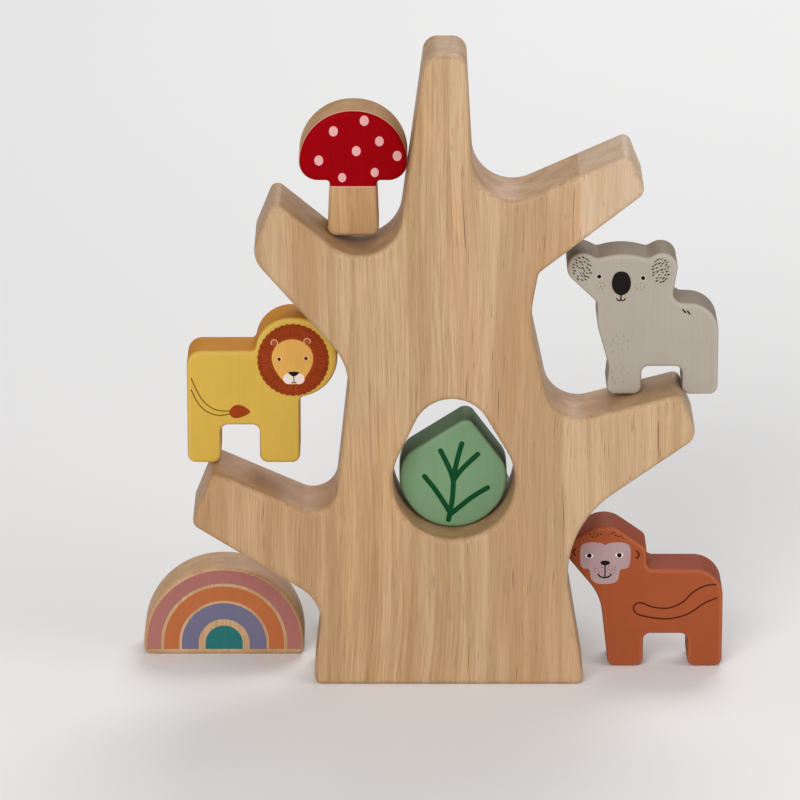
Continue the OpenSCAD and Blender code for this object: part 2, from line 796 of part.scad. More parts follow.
crocodile_leg_w = 9;
crocodile_leg_h = 6;
crocodile_snout_len = 20;
crocodile_snout_h = 13;
crocodile_chin_h = 5;
crocodile_tail_len = 20;
crocodile_tail_h = 7;
crocodile_brow = 3;
crocodile_r = 3;
crocodile_back_r = 12;
crocodile_corners = [
    [crocodile_snout_len, 0, foot_r],
    [crocodile_snout_len + crocodile_leg_w, 0, foot_r],
    [crocodile_snout_len + crocodile_leg_w, crocodile_leg_h, groin_r],
    [crocodile_len - crocodile_tail_len - crocodile_leg_w, crocodile_leg_h, groin_r],
    [crocodile_len - crocodile_tail_len - crocodile_leg_w, 0, foot_r],
    [crocodile_len - crocodile_tail_len, 0, foot_r],
    [crocodile_len - crocodile_tail_len, crocodile_leg_h, groin_r],
    [crocodile_len, crocodile_leg_h, crocodile_r],
    [crocodile_len, crocodile_leg_h + crocodile_tail_h, crocodile_r],
    [crocodile_len - crocodile_tail_len, crocodile_h - crocodile_brow, crocodile_back_r],
    [crocodile_snout_len + crocodile_leg_w, crocodile_h - crocodile_brow, crocodile_back_r],
    [crocodile_snout_len, crocodile_h, crocodile_r],
    [crocodile_snout_len - crocodile_brow, crocodile_snout_h, crocodile_r],
    [0, crocodile_snout_h, crocodile_r],
    [0, crocodile_chin_h, crocodile_r],
    [crocodile_snout_len, crocodile_chin_h, groin_r]
];
crocodile_at = [-crocodile_len / 2, 0];

module crocodile_block() {
    color("seagreen") placed(crocodile_at, first_row_y) sawn(crocodile_corners, block_t, block_rim);
}

hedgehog_foot_r = 3;
hedgehog_rump_r = 6;
hedgehog_chest_in = 3;
hedgehog_snout_h = 9;
hedgehog_brow_x = 7;
hedgehog_brow_h = 14;
hedgehog_brow_r = 12;
hedgehog_snout_r = 2.4;
hedgehog_back_r = 15;
hedgehog_crown_x = 17;
hedgehog_corners = [
    [hedgehog_chest_in, 0, hedgehog_foot_r],
    [hedgehog_len, 0, hedgehog_rump_r],
    [hedgehog_len, hedgehog_h, hedgehog_back_r],
    [hedgehog_crown_x, hedgehog_h, hedgehog_back_r],
    [hedgehog_brow_x, hedgehog_brow_h, hedgehog_brow_r],
    [0, hedgehog_snout_h, hedgehog_snout_r]
];
hedgehog_at = [-hedgehog_len - rest_gap / 2, 0];

module hedgehog_block() {
    color("saddlebrown") placed(hedgehog_at, second_row_y) sawn(hedgehog_corners, block_t, block_rim);
}

donkey_leg_w = 10;
donkey_leg_h = 11;
donkey_muzzle_out = 9;
donkey_muzzle_h = 13;
donkey_head_rise = 9;
donkey_head_h = donkey_back_h + donkey_head_rise;
donkey_head_w = 20;
donkey_poll_x = donkey_head_w - donkey_muzzle_out;
donkey_nape_out = 2;
donkey_brow_rise = 2;
donkey_ear_w = 7;
donkey_ear_tip_out = 1.5;
donkey_ear_step = 1;
donkey_r = 3;
donkey_muzzle_r = 5;
donkey_corners = [
    [0, 0, foot_r],
    [donkey_leg_w, 0, foot_r],
    [donkey_leg_w, donkey_leg_h, groin_r],
    [donkey_len - donkey_leg_w, donkey_leg_h, groin_r],
    [donkey_len - donkey_leg_w, 0, foot_r],
    [donkey_len, 0, foot_r],
    [donkey_len, donkey_back_h, rump_r],
    [donkey_poll_x + donkey_nape_out, donkey_back_h, donkey_r],
    [donkey_poll_x + donkey_ear_step, donkey_head_h, donkey_r],
    [donkey_poll_x + donkey_ear_tip_out, donkey_h, donkey_r],
    [donkey_poll_x - donkey_ear_w, donkey_h, donkey_r],
    [donkey_poll_x - donkey_ear_w - donkey_ear_step, donkey_head_h, groin_r],
    [-donkey_muzzle_out, donkey_back_h + donkey_brow_rise, donkey_muzzle_r],
    [-donkey_muzzle_out, donkey_back_h + donkey_brow_rise - donkey_muzzle_h, donkey_muzzle_r],
    [0, donkey_back_h - donkey_muzzle_h, donkey_r]
];
donkey_at = [donkey_muzzle_out + rest_gap / 2, 0];

module donkey_block() {
    color("lightslategray") placed(donkey_at, second_row_y) sawn(donkey_corners, block_t, block_rim);
}

left_trunk_board();
right_trunk_board();
upper_left_branch_board();
lower_left_branch_board();
upper_right_branch_board();
lower_right_branch_board();
mushroom_block();
koala_block();
lion_block();
bush_block();
monkey_block();
rainbow_block();
hedgehog_block();
donkey_block();
crocodile_block();
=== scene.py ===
# %% [markdown]
# # A wooden balance tree game
#
# The toy is a tree, sawn from a panel of glued boards, and nine loose blocks that are balanced on it. The
# frame already holds every piece as a plain solid with the right size and place. This lesson gives the solids
# their looks: finely rounded rims, wood grain, matt paint and printed faces. Lengths on the toy are
# millimetres until a mesh is made, because that is how a maker reads a toy of this size. The camera, the
# lamps and the floor are placed in metres.

# %% Load the frame
import math

import bmesh
import bpy
import numpy as np
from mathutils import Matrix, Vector
from mathutils.kdtree import KDTree


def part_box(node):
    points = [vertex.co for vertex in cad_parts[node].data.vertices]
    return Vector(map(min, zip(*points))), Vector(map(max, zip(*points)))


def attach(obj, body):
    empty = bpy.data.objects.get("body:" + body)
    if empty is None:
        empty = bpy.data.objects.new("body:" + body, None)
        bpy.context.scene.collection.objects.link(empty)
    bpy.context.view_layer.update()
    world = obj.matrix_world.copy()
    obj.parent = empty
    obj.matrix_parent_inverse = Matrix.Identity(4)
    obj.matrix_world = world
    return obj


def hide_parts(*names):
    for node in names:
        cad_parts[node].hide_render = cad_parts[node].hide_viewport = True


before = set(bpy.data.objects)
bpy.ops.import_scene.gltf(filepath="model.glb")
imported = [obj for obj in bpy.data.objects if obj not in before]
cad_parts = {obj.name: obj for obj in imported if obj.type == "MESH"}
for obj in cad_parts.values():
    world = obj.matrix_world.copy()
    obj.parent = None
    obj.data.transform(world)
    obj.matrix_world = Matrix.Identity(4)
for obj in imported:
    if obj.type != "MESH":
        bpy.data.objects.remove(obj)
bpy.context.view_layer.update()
MM = 0.001

# %% [markdown]
# ## Camera
#
# The picture looks straight at the front of the tree from a little above. A long lens far away keeps the
# trunk's sides upright, as they are in the picture. A near camera would make the trunk narrow towards its
# foot.

# %% Camera
CAMERA_RISE = math.radians(18)
CAMERA_DISTANCE = 2.0
VIEW_WIDTH = 0.272
VIEW_MIDDLE = Vector((-0.017, -0.015, 0.1035))
NEAREST_SEEN = 0.05
FARTHEST_SEEN = 30


def new_object(name, data):
    """Object in the scene with the given data."""
    made = bpy.data.objects.new(name, data)
    bpy.context.collection.objects.link(made)
    return made


def aimed(name, data, place, aim):
    """Camera or lamp that stands at a place and looks at an aim."""
    thing = new_object(name, data)
    thing.location = place
    thing.rotation_mode = "QUATERNION"
    thing.rotation_quaternion = (Vector(place) - Vector(aim)).to_track_quat("Z", "Y")
    return thing


towards_camera = Vector((0, -math.cos(CAMERA_RISE), math.sin(CAMERA_RISE)))
camera_data = bpy.data.cameras.new("camera")
camera_data.lens = camera_data.sensor_width * CAMERA_DISTANCE / VIEW_WIDTH
camera_data.clip_start = NEAREST_SEEN
camera_data.clip_end = FARTHEST_SEEN
camera_place = VIEW_MIDDLE + CAMERA_DISTANCE * towards_camera
bpy.context.scene.camera = aimed("camera", camera_data, camera_place, VIEW_MIDDLE)
bpy.context.scene.view_settings.view_transform = "Standard"
print("lens:", round(camera_data.lens), "mm")

# %% [markdown]
# ## Light and floor
#
# In the picture the fronts of the boards are bright and their upper faces are darker, so the main light is a
# wide soft lamp in front of the toy. Weaker lamps from the right and from behind and a pale world fill the
# shadows. The world is dim as a light but pale to the eye, so that it goes on where the floor ends.

# %% Lamps
TOY_MIDDLE = (0, 0, 0.1)
LAMPS = {
    "front_lamp": ((-0.55, -1.6, 0.95), 1.0, 20),
    "side_lamp": ((1.3, -0.7, 0.8), 0.9, 6),
    "back_lamp": ((0.3, 1.3, 1.3), 0.9, 13),
}
for name, (place, size, power) in LAMPS.items():
    lamp_data = bpy.data.lights.new(name, "AREA")
    lamp_data.size = size
    lamp_data.energy = power
    aimed(name, lamp_data, place, TOY_MIDDLE)
print("lamps:", len(LAMPS))

# %% Node helpers
def wired(tree, kind, inputs, **settings):
    """New node of a tree with its settings, and each input set to a value or linked to a socket."""
    node = tree.nodes.new(kind)
    for name, value in settings.items():
        setattr(node, name, value)
    for name, value in inputs.items():
        socket = node.inputs[name]
        if isinstance(value, bpy.types.NodeSocket):
            tree.links.new(value, socket)
        else:
            socket.default_value = value
    return node


def result(tree, kind, inputs, **settings):
    """First output of a new node."""
    return wired(tree, kind, inputs, **settings).outputs[0]


def sums(tree, operation, first, second=0.0):
    """Result of a sum with one or two values."""
    return result(tree, "ShaderNodeMath", {0: first, 1: second}, operation=operation)


# %% World
WORLD_LIGHT = 0.34
WORLD_SEEN = 0.72


def srgb(red, green, blue):
    """Scene colour of an 8-bit picture colour."""
    shares = [part / 255 for part in (red, green, blue)]
    return tuple(s / 12.92 if s <= 0.04045 else ((s + 0.055) / 1.055) ** 2.4 for s in shares) + (1,)


world = bpy.data.worlds.new("studio")
bpy.context.scene.world = world
world.use_nodes = True
sky = world.node_tree
rays = sky.nodes.new("ShaderNodeLightPath").outputs
seen = rays["Is Camera Ray"]
for ray in ("Is Glossy Ray", "Is Transmission Ray"):
    seen = sums(sky, "MAXIMUM", seen, rays[ray])
level = result(sky, "ShaderNodeMapRange", {"Value": seen, "To Min": WORLD_LIGHT, "To Max": WORLD_SEEN})
background = sky.nodes["Background"].inputs
background["Color"].default_value = srgb(244, 244, 246)
sky.links.new(level, background["Strength"])
print("world nodes:", len(sky.nodes))

# %% Floor
FLOOR_HALF = 6.0
FLOOR_ROUGHNESS = 0.9
FLOOR_CORNERS = [(-1, -1), (1, -1), (1, 1), (-1, 1)]

floor_mesh = bpy.data.meshes.new("floor")
floor_corners = [(FLOOR_HALF * x, FLOOR_HALF * y, 0) for x, y in FLOOR_CORNERS]
floor_mesh.from_pydata(floor_corners, [], [(0, 1, 2, 3)])
floor = new_object("floor", floor_mesh)
floor_paper = bpy.data.materials.new("floor_paper")
floor_paper.use_nodes = True
floor_shader = floor_paper.node_tree.nodes["Principled BSDF"].inputs
floor_shader["Base Color"].default_value = srgb(243, 242, 241)
floor_shader["Roughness"].default_value = FLOOR_ROUGHNESS
floor_mesh.materials.append(floor_paper)
print("floor side:", 2 * FLOOR_HALF, "m")

# %% [markdown]
# ## Outlines from the solids
#
# Every piece is a board with one outline, sawn straight through. The solids have that outline in short
# straight chords. Copying the solids would show the chords, and drawing the outlines again would lose the
# exact fit. So each solid is cut at the middle of its thickness, the cut is read as a loop of points, and the
# chords of each round are filled with points on a smooth curve. Straight edges stay straight.

# %% Cut a solid at one depth
MERGED = 1e-7


def cut_edges(mesh, place, across, **more):
    """Edges where a plane through a place cuts a mesh."""
    whole = mesh.verts[:] + mesh.edges[:] + mesh.faces[:]
    cut = bmesh.ops.bisect_plane(mesh, geom=whole, plane_co=place, plane_no=across, **more)
    return [part for part in cut["geom_cut"] if isinstance(part, bmesh.types.BMEdge)]


def cut_pairs(node, depth):
    """Pairs of points, in millimetres across and up, where a solid meets a plane at a depth."""
    solid = bmesh.new()
    solid.from_mesh(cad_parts[node].data)
    bmesh.ops.remove_doubles(solid, verts=solid.verts, dist=MERGED)
    edges = cut_edges(solid, (0, depth * MM, 0), (0, 1, 0))
    pairs = np.array([[(v.co.x / MM, v.co.z / MM) for v in edge.verts] for edge in edges])
    solid.free()
    return pairs


# %% Join the pairs to loops
SAME_POINT = 0.06


def joined(pairs):
    """Closed loops of points through pairs that share their ends."""
    ends = pairs.reshape(-1, 2)
    near = KDTree(len(ends))
    for index, (x, z) in enumerate(ends):
        near.insert((x, 0, z), index)
    near.balance()
    knot = []
    for index, (x, z) in enumerate(ends):
        first = min(hit[1] for hit in near.find_range((x, 0, z), SAME_POINT))
        knot.append(knot[first] if first < index else index)
    unused = {k for k in range(len(pairs)) if knot[2 * k] != knot[2 * k + 1]}
    pairs_at = {}
    for k in unused:
        for name in knot[2 * k : 2 * k + 2]:
            pairs_at.setdefault(name, []).append(k)
    loops = []
    while unused:
        pair = unused.pop()
        start, here = knot[2 * pair], knot[2 * pair + 1]
        loop = [ends[start]]
        while here != start:
            loop.append(ends[here])
            pair = next(other for other in pairs_at[here] if other in unused)
            unused.discard(pair)
            here = knot[2 * pair + 1] if knot[2 * pair] == here else knot[2 * pair]
        loops.append(np.array(loop))
    return loops


# %% Turns, areas and straight edges of a loop
STRAIGHT = math.radians(0.4)


def headings(points):
    """Direction in radians and length of the chord after each point of a loop."""
    ahead = np.roll(points, -1, 0) - points
    return np.arctan2(ahead[:, 1], ahead[:, 0]), np.linalg.norm(ahead, axis=1)


def turns(points):
    """Turn at each point of a loop, in radians."""
    heading = headings(points)[0]
    return (heading - np.roll(heading, 1) + np.pi) % (2 * np.pi) - np.pi


def area(points):
    """Area inside a loop, positive where it runs counter-clockwise."""
    after = np.roll(points, -1, 0)
    return 0.5 * np.sum(points[:, 0] * after[:, 1] - after[:, 0] * points[:, 1])


def straightened(points):
    """Loop without the points that lie on a straight edge."""
    keep = abs(turns(points)) > STRAIGHT
    while not keep.all():
        points = points[keep]
        keep = abs(turns(points)) > STRAIGHT
    return points


# %% Smooth rounds
FINE_TURN = math.radians(3)
LIKE_HALF = 0.2


def refined(points):
    """Loop with the chords of its rounds filled by points on a smooth curve."""
    turn = turns(points)
    heading, chord = headings(points)
    round_starts = abs(np.roll(turn, -1) - 2 * turn) < LIKE_HALF * abs(turn)
    round_ends = abs(np.roll(turn, 1) - 2 * turn) < LIKE_HALF * abs(turn)
    share = np.where(round_starts & ~round_ends, 0.0, np.where(round_ends & ~round_starts, 1.0, 0.5))
    out_bend = (share - 1) * turn
    in_bend = np.roll(share * turn, -1)
    filled = []
    for k in range(len(points)):
        steps = max(1, math.ceil((abs(out_bend[k]) + abs(in_bend[k])) / FINE_TURN))
        t = np.arange(steps)[:, None] / steps
        start, end = points[k], points[(k + 1) % len(points)]
        out_angle, in_angle = heading[k] + out_bend[k], heading[k] + in_bend[k]
        leave = chord[k] * np.array([math.cos(out_angle), math.sin(out_angle)])
        arrive = chord[k] * np.array([math.cos(in_angle), math.sin(in_angle)])
        curve = (2 * t**3 - 3 * t**2 + 1) * start + (t**3 - 2 * t**2 + t) * leave
        filled.append(curve + (3 * t**2 - 2 * t**3) * end + (t**3 - t**2) * arrive)
    return np.concatenate(filled)


def outline(pairs):
    """Smooth loops of a cut, the outer one first and counter-clockwise, holes clockwise."""
    loops = [refined(straightened(loop)) for loop in joined(pairs)]
    loops.sort(key=lambda loop: -abs(area(loop)))
    return [loop if (area(loop) > 0) == (k == 0) else loop[::-1] for k, loop in enumerate(loops)]


# %% [markdown]
# ## Boards with round rims
#
# The saw leaves square edges, and sanding rounds them. A Bevel modifier could do that, but it breaks where
# the outline's points lie closer than the bevel is wide. Here each rim is a stack of rings instead: every
# ring is the outline moved inwards and back along a quarter circle. A value called rim_turn is kept at each
# point, 0 on the faces and 1 on the sawn side, so that a material can tell the face, the rim and the side
# apart.

# %% Slab builder
RIM_STEPS = 6
FLAT_LIP = 0.5


def inward(points):
    """Unit vectors at the points of a loop that point into the wood."""
    ahead = np.roll(points, -1, 0) - np.roll(points, 1, 0)
    ahead /= np.linalg.norm(ahead, axis=1)[:, None]
    return np.stack([-ahead[:, 1], ahead[:, 0]], 1)


def rim_rings(thick, rim):
    """Inset, depth and rim_turn of each ring, from the front face to the back face."""
    angles = [math.pi / 2 * k / RIM_STEPS for k in range(RIM_STEPS + 1)]
    front = [(rim * (1 - math.sin(a)), rim * (1 - math.cos(a)), 2 * a / math.pi) for a in angles]
    front.insert(0, (rim + FLAT_LIP, 0.0, 0.0))
    return front + [(inset, thick - depth, turn) for inset, depth, turn in front[::-1]]


def slab(loops, front, thick, rim):
    """Mesh of a board with an outer loop and holes, from a front depth backwards."""
    wood = bmesh.new()
    rim_turn = wood.verts.layers.float.new("rim_turn")
    caps = ([], [])
    for loop in loops:
        into = inward(loop)
        rings = []
        for inset, depth, turn in rim_rings(thick, rim):
            y = front + depth
            ring = [wood.verts.new((x * MM, y * MM, z * MM)) for x, z in loop + inset * into]
            for point in ring:
                point[rim_turn] = turn
            rings.append(ring)
        count = len(loop)
        for near, far in zip(rings, rings[1:]):
            for k in range(count):
                wood.faces.new((near[k], near[(k + 1) % count], far[(k + 1) % count], far[k]))
        for ring, cap in zip((rings[0], rings[-1]), caps):
            cap.extend(wood.edges.get((ring[k], ring[(k + 1) % count])) for k in range(count))
    for cap in caps:
        bmesh.ops.triangle_fill(wood, use_beauty=True, edges=cap)
    bmesh.ops.recalc_face_normals(wood, faces=wood.faces)
    for face in wood.faces:
        face.smooth = True
    return wood


# %% Turn a mesh into a piece
def mesh_data(name, mesh):
    """Plain mesh of an edited one, which is freed."""
    data = bpy.data.meshes.new(name)
    mesh.to_mesh(data)
    mesh.free()
    return data


def piece(name, mesh, material, body):
    """Object of a finished mesh that moves with a body."""
    made = new_object(name, mesh_data(name, mesh))
    made.data.materials.append(material)
    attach(made, body)
    return made


# %% [markdown]
# ## Wood grain
#
# The tree is bare hardwood with a thin clear finish. Its grain runs upwards on every board: soft wide bands,
# warm zones, long lines, short strokes, hair-thin fibres and dark pores. Each of these is a noise that is
# stretched along the height, and one slow noise sways them all together. Several materials need it, so it is
# a node group that each board places with its own colours and seed.

# %% Helpers for patterns
NOISE_ROUGHNESS = 0.55
SEED_SHIFT = (173.0, 291.0, 417.0)


def scaled(tree, vector, factor):
    """Vector or colour times a factor."""
    return result(tree, "ShaderNodeVectorMath", {0: vector, "Scale": factor}, operation="SCALE")


def spread(tree, value, low, high, new_low=0.0, new_high=1.0):
    """Part of a value's range, spread smoothly over a new range."""
    inputs = {"Value": value, "From Min": low, "From Max": high, "To Min": new_low, "To Max": new_high}
    return result(tree, "ShaderNodeMapRange", inputs, interpolation_type="SMOOTHSTEP")


def blended(tree, share, first, second):
    """Colour between two colours, which are sockets 6 and 7 of the node."""
    return wired(tree, "ShaderNodeMix", {"Factor": share, 6: first, 7: second}, data_type="RGBA").outputs[2]


def stretched_noise(tree, place, across, along, detail):
    """Noise with so many spots to a millimetre across the grain and along it."""
    inputs = {0: place, 1: (across, across, along)}
    stretched = result(tree, "ShaderNodeVectorMath", inputs, operation="MULTIPLY")
    inputs = {"Vector": stretched, "Scale": 1.0, "Detail": detail, "Roughness": NOISE_ROUGHNESS}
    return result(tree, "ShaderNodeTexNoise", inputs)


def pattern_place(tree, entry):
    """Object place in millimetres, moved by the seed so that no two pieces show the same spot."""
    place = scaled(tree, entry["Vector"], 1 / MM)
    shift = scaled(tree, SEED_SHIFT, entry["Seed"])
    return result(tree, "ShaderNodeVectorMath", {0: place, 1: shift})


# %% Groups with named sockets
NUMBER = "NodeSocketFloat"
COUNT = "NodeSocketInt"
VECTOR = "NodeSocketVector"
COLOUR = "NodeSocketColor"
SHAPE = "NodeSocketGeometry"
FINISH = "NodeSocketMaterial"
SURFACE_OUT = {"Color": COLOUR, "Roughness": NUMBER, "Height": NUMBER}


def new_group(name, kind, inputs, outputs):
    """Node group with named sockets, the sockets of its input and those of its output."""
    group = bpy.data.node_groups.new(name, kind)
    for direction, sockets in (("INPUT", inputs), ("OUTPUT", outputs)):
        for label, socket_kind in sockets.items():
            group.interface.new_socket(label, in_out=direction, socket_type=socket_kind)
    return group, group.nodes.new("NodeGroupInput").outputs, group.nodes.new("NodeGroupOutput").inputs


grain_inputs = {"Vector": VECTOR, "Rim": NUMBER, "Pale": COLOUR, "Tan": COLOUR, "Brown": COLOUR}
grain_inputs |= {"Stripe": NUMBER, "Pores": NUMBER, "Seed": NUMBER}
grain, entry, leave = new_group("board_grain", "ShaderNodeTree", grain_inputs, SURFACE_OUT)
print("board_grain sockets:", len(grain.interface.items_tree))

# %% Layers of the grain
# Each layer has its spots to a millimetre across and along the grain and its detail. Then come the part of
# the noise that shows, and its strength.
GRAIN_LAYERS = {
    "bands": (0.13, 0.005, 3.0, 0.38, 0.62, 1.0),
    "blush": (0.05, 0.012, 2.0, 0.44, 0.66, 0.8),
    "lines": (1.2, 0.014, 4.0, 0.38, 0.68, 0.5),
    "strokes": (1.9, 0.075, 3.0, 0.42, 0.72, 0.7),
    "short_pores": (2.3, 0.08, 2.0, 0.685, 0.73, 1.0),
    "long_pores": (1.5, 0.03, 1.0, 0.72, 0.76, 1.0),
}
FIBRES = (3.4, 0.05, 3.0)
SWAY = 9.0
SWAY_NOISE = (0.012, 0.012, 1.0)

place = pattern_place(grain, entry)
sway = sums(grain, "MULTIPLY", stretched_noise(grain, place, *SWAY_NOISE), SWAY)
swayed = result(grain, "ShaderNodeCombineXYZ", {"X": sway})
place = result(grain, "ShaderNodeVectorMath", {0: place, 1: swayed})
layers = {}
for name, (across, along, detail, low, high, strength) in GRAIN_LAYERS.items():
    noise = stretched_noise(grain, place, across, along, detail)
    layers[name] = spread(grain, noise, low, high, 0.0, strength)
fibres = stretched_noise(grain, place, *FIBRES)
stripes = sums(grain, "ADD", layers["lines"], layers["strokes"])
pores = sums(grain, "MAXIMUM", layers["short_pores"], layers["long_pores"])
print("grain layers:", ", ".join(layers))

# %% Colour of the grain
BLUSH = (1.0, 0.92, 0.84)
PORE_LIGHT = 0.45
FIBRE_RANGE = (0.25, 0.75)
FIBRE_LIGHT = (0.88, 1.11)
MOST_NOISE = (0.2, 0.8)
SIDE_RANGE = (0.6, 1.0)
SIDE_PAINTED_SHADE = 0.22
WOOD_ROUGHNESS = (0.42, 0.6)

base = blended(grain, layers["bands"], entry["Pale"], entry["Tan"])
warm = result(grain, "ShaderNodeVectorMath", {0: base, 1: BLUSH}, operation="MULTIPLY")
base = blended(grain, layers["blush"], base, warm)
striped = blended(grain, sums(grain, "MULTIPLY", stripes, entry["Stripe"]), base, entry["Brown"])
pore_colour = scaled(grain, entry["Brown"], PORE_LIGHT)
pored = blended(grain, sums(grain, "MULTIPLY", pores, entry["Pores"]), striped, pore_colour)
lit = scaled(grain, pored, spread(grain, fibres, *FIBRE_RANGE, *FIBRE_LIGHT))
# The sawn sides are blended towards the brown: painted shade on the faces that the light reaches less.
side_shade_share = spread(grain, entry["Rim"], *SIDE_RANGE, 0.0, SIDE_PAINTED_SHADE)
grain.links.new(blended(grain, side_shade_share, lit, entry["Brown"]), leave["Color"])
grain.links.new(spread(grain, fibres, *MOST_NOISE, *WOOD_ROUGHNESS), leave["Roughness"])
grain.links.new(sums(grain, "SUBTRACT", fibres, pores), leave["Height"])
print("board_grain nodes:", len(grain.nodes))

# %% [markdown]
# ## Matt paint
#
# The loose blocks are dipped or printed in matt colours that let a little of the wood's grain through. The
# paint is slightly cloudy. It is thinner and paler on the sanded rims, partly from wear and partly as a
# painted highlight where the rims catch the light. It is darker on the sawn sides, partly as painted shade.
# The printed inks are the same stuff, so one group serves both.

# %% Matt paint group
CLOUDS = (0.07, 0.07, 4.0)
BRUSH_LINES = (1.3, 0.04, 3.0)
TOOTH = (4.0, 4.0, 2.0)
BRUSH_SHARE = 0.8
PAINT_SIDE_RANGE = (0.45, 0.95)
WEAR_AND_HIGHLIGHT_RANGE = (0.5, 0.1)
RUB_AND_HIGHLIGHT_RANGE = (0.35, 0.75)
RUB_AND_HIGHLIGHT = (0.25, 0.65)
PAINT_ROUGHNESS = (0.46, 0.66)

paint_inputs = {"Vector": VECTOR, "Rim": NUMBER, "Face": COLOUR, "Side": COLOUR, "Wear And Highlight": COLOUR}
paint_inputs |= {"Cloud": NUMBER, "Seed": NUMBER}
paint, entry, leave = new_group("matt_paint", "ShaderNodeTree", paint_inputs, SURFACE_OUT)
place = pattern_place(paint, entry)
clouds = stretched_noise(paint, place, *CLOUDS)
brushed = stretched_noise(paint, place, *BRUSH_LINES)
tooth = stretched_noise(paint, place, *TOOTH)
# The sawn sides turn to the side colour, which is darker partly as painted shade.
side_shade_share = spread(paint, entry["Rim"], *PAINT_SIDE_RANGE)
side_shaded = blended(paint, side_shade_share, entry["Face"], entry["Side"])
uneven = sums(paint, "ADD", clouds, sums(paint, "MULTIPLY", brushed, BRUSH_SHARE))
off_mean = sums(paint, "SUBTRACT", uneven, 0.5 + 0.5 * BRUSH_SHARE)
light = sums(paint, "ADD", sums(paint, "MULTIPLY", off_mean, entry["Cloud"]), 1.0)
# Paler mid-rim colour: partly wear where the paint is thin, partly a painted highlight where the rim catches
# light.
off_rim = sums(paint, "ABSOLUTE", sums(paint, "SUBTRACT", entry["Rim"], 0.5))
wear_and_highlight = spread(paint, off_rim, *WEAR_AND_HIGHLIGHT_RANGE)
rubbed_and_lit = sums(paint, "MULTIPLY", wear_and_highlight, spread(paint, tooth, *RUB_AND_HIGHLIGHT_RANGE, *RUB_AND_HIGHLIGHT))
paint.links.new(blended(paint, rubbed_and_lit, scaled(paint, side_shaded, light), entry["Wear And Highlight"]), leave["Color"])
paint.links.new(spread(paint, tooth, *MOST_NOISE, *PAINT_ROUGHNESS), leave["Roughness"])
paint.links.new(sums(paint, "ADD", tooth, brushed), leave["Height"])
print("matt_paint nodes:", len(paint.nodes))

# %% Materials that place the groups
BUMP_DEPTH = 0.00006
BUMP_STRENGTH = 0.6
WOOD_GLOSS = 0.25
PAINT_GLOSS = 0.09
INK_SEED = 2.5


def finish(name, group, values, gloss):
    """Material whose colour, roughness and bump come from a node group."""
    material = bpy.data.materials.new(name)
    material.use_nodes = True
    tree = material.node_tree
    shader = tree.nodes["Principled BSDF"].inputs
    place = tree.nodes.new("ShaderNodeTexCoord").outputs["Object"]
    rim = wired(tree, "ShaderNodeAttribute", {}, attribute_name="rim_turn").outputs["Fac"]
    inputs = values | {"Vector": place, "Rim": rim}
    surface = wired(tree, "ShaderNodeGroup", inputs, node_tree=group).outputs
    inputs = {"Height": surface["Height"], "Distance": BUMP_DEPTH, "Strength": BUMP_STRENGTH}
    tree.links.new(result(tree, "ShaderNodeBump", inputs), shader["Normal"])
    tree.links.new(surface["Color"], shader["Base Color"])
    tree.links.new(surface["Roughness"], shader["Roughness"])
    shader["Specular IOR Level"].default_value = gloss
    return material


def wood_finish(name, pale, tan, brown, stripe, pores, seed):
    """Bare wood."""
    values = {"Pale": srgb(*pale), "Tan": srgb(*tan), "Brown": srgb(*brown)}
    return finish(name, grain, values | {"Stripe": stripe, "Pores": pores, "Seed": seed}, WOOD_GLOSS)


def paint_finish(name, face, shaded_side, wear_and_highlight, cloud, seed):
    """Matt paint on a block, its sides darker partly as painted shade, its rims paler partly as painted
    highlight.
    """
    values = {"Face": srgb(*face), "Side": srgb(*shaded_side), "Wear And Highlight": srgb(*wear_and_highlight)}
    return finish(name, paint, values | {"Cloud": cloud, "Seed": seed}, PAINT_GLOSS)


def ink_finish(name, colour, cloud=0.12):
    """Printed ink."""
    return paint_finish(name, colour, colour, colour, cloud, INK_SEED)


# %% [markdown]
# ## The tree
#
# The real tree is sawn out of a panel of upright boards that were glued edge to edge, so its rims run on
# across the glue lines. Rounding each board by itself would put a groove at every glue line. So the six
# solids' outlines are merged to that of the whole tree, the tree is built, and it is then sawn along the glue
# lines. Each board gets its own wood, because that is what shows the glue lines in the picture.

# %% Outline of the whole tree
TREE_RIM = 2.0
GLUE_GAP = 0.01
BOARDS = {
    "left_trunk_board": ((200, 167, 128), (184, 149, 109), (144, 104, 66), 0.42, 0.50, 1.0),
    "right_trunk_board": ((204, 171, 134), (184, 149, 111), (148, 108, 70), 0.24, 0.85, 2.0),
    "upper_left_branch_board": ((194, 163, 126), (180, 147, 109), (148, 107, 69), 0.28, 0.40, 3.0),
    "lower_left_branch_board": ((196, 160, 121), (180, 143, 103), (146, 104, 66), 0.36, 0.50, 4.0),
    "upper_right_branch_board": ((217, 191, 161), (203, 174, 143), (162, 124, 89), 0.24, 0.85, 5.0),
    "lower_right_branch_board": ((204, 171, 133), (187, 152, 114), (150, 110, 72), 0.26, 0.75, 6.0),
}


def gap_to_pairs(point, pairs):
    """Least distance of a point to the lines between pairs."""
    along = pairs[:, 1] - pairs[:, 0]
    share = np.sum((point - pairs[:, 0]) * along, 1) / np.maximum(np.sum(along * along, 1), 1e-12)
    nearest = pairs[:, 0] + np.clip(share, 0, 1)[:, None] * along
    return np.linalg.norm(nearest - point, axis=1).min()


board_pairs = {name: cut_pairs(name, 0.0) for name in BOARDS}
free_pairs = []
glue_pairs = []
for name, pairs in board_pairs.items():
    others = {other: more for other, more in board_pairs.items() if other != name}
    for pair in pairs:
        gaps = {other: gap_to_pairs(pair.mean(0), more) for other, more in others.items()}
        nearest = min(gaps, key=gaps.get)
        if gaps[nearest] < GLUE_GAP:
            glue_pairs.append((name, nearest, pair))
        else:
            free_pairs.append(pair)
tree_loops = outline(np.array(free_pairs))
print("tree loops:", [len(loop) for loop in tree_loops], "glue pairs:", len(glue_pairs))

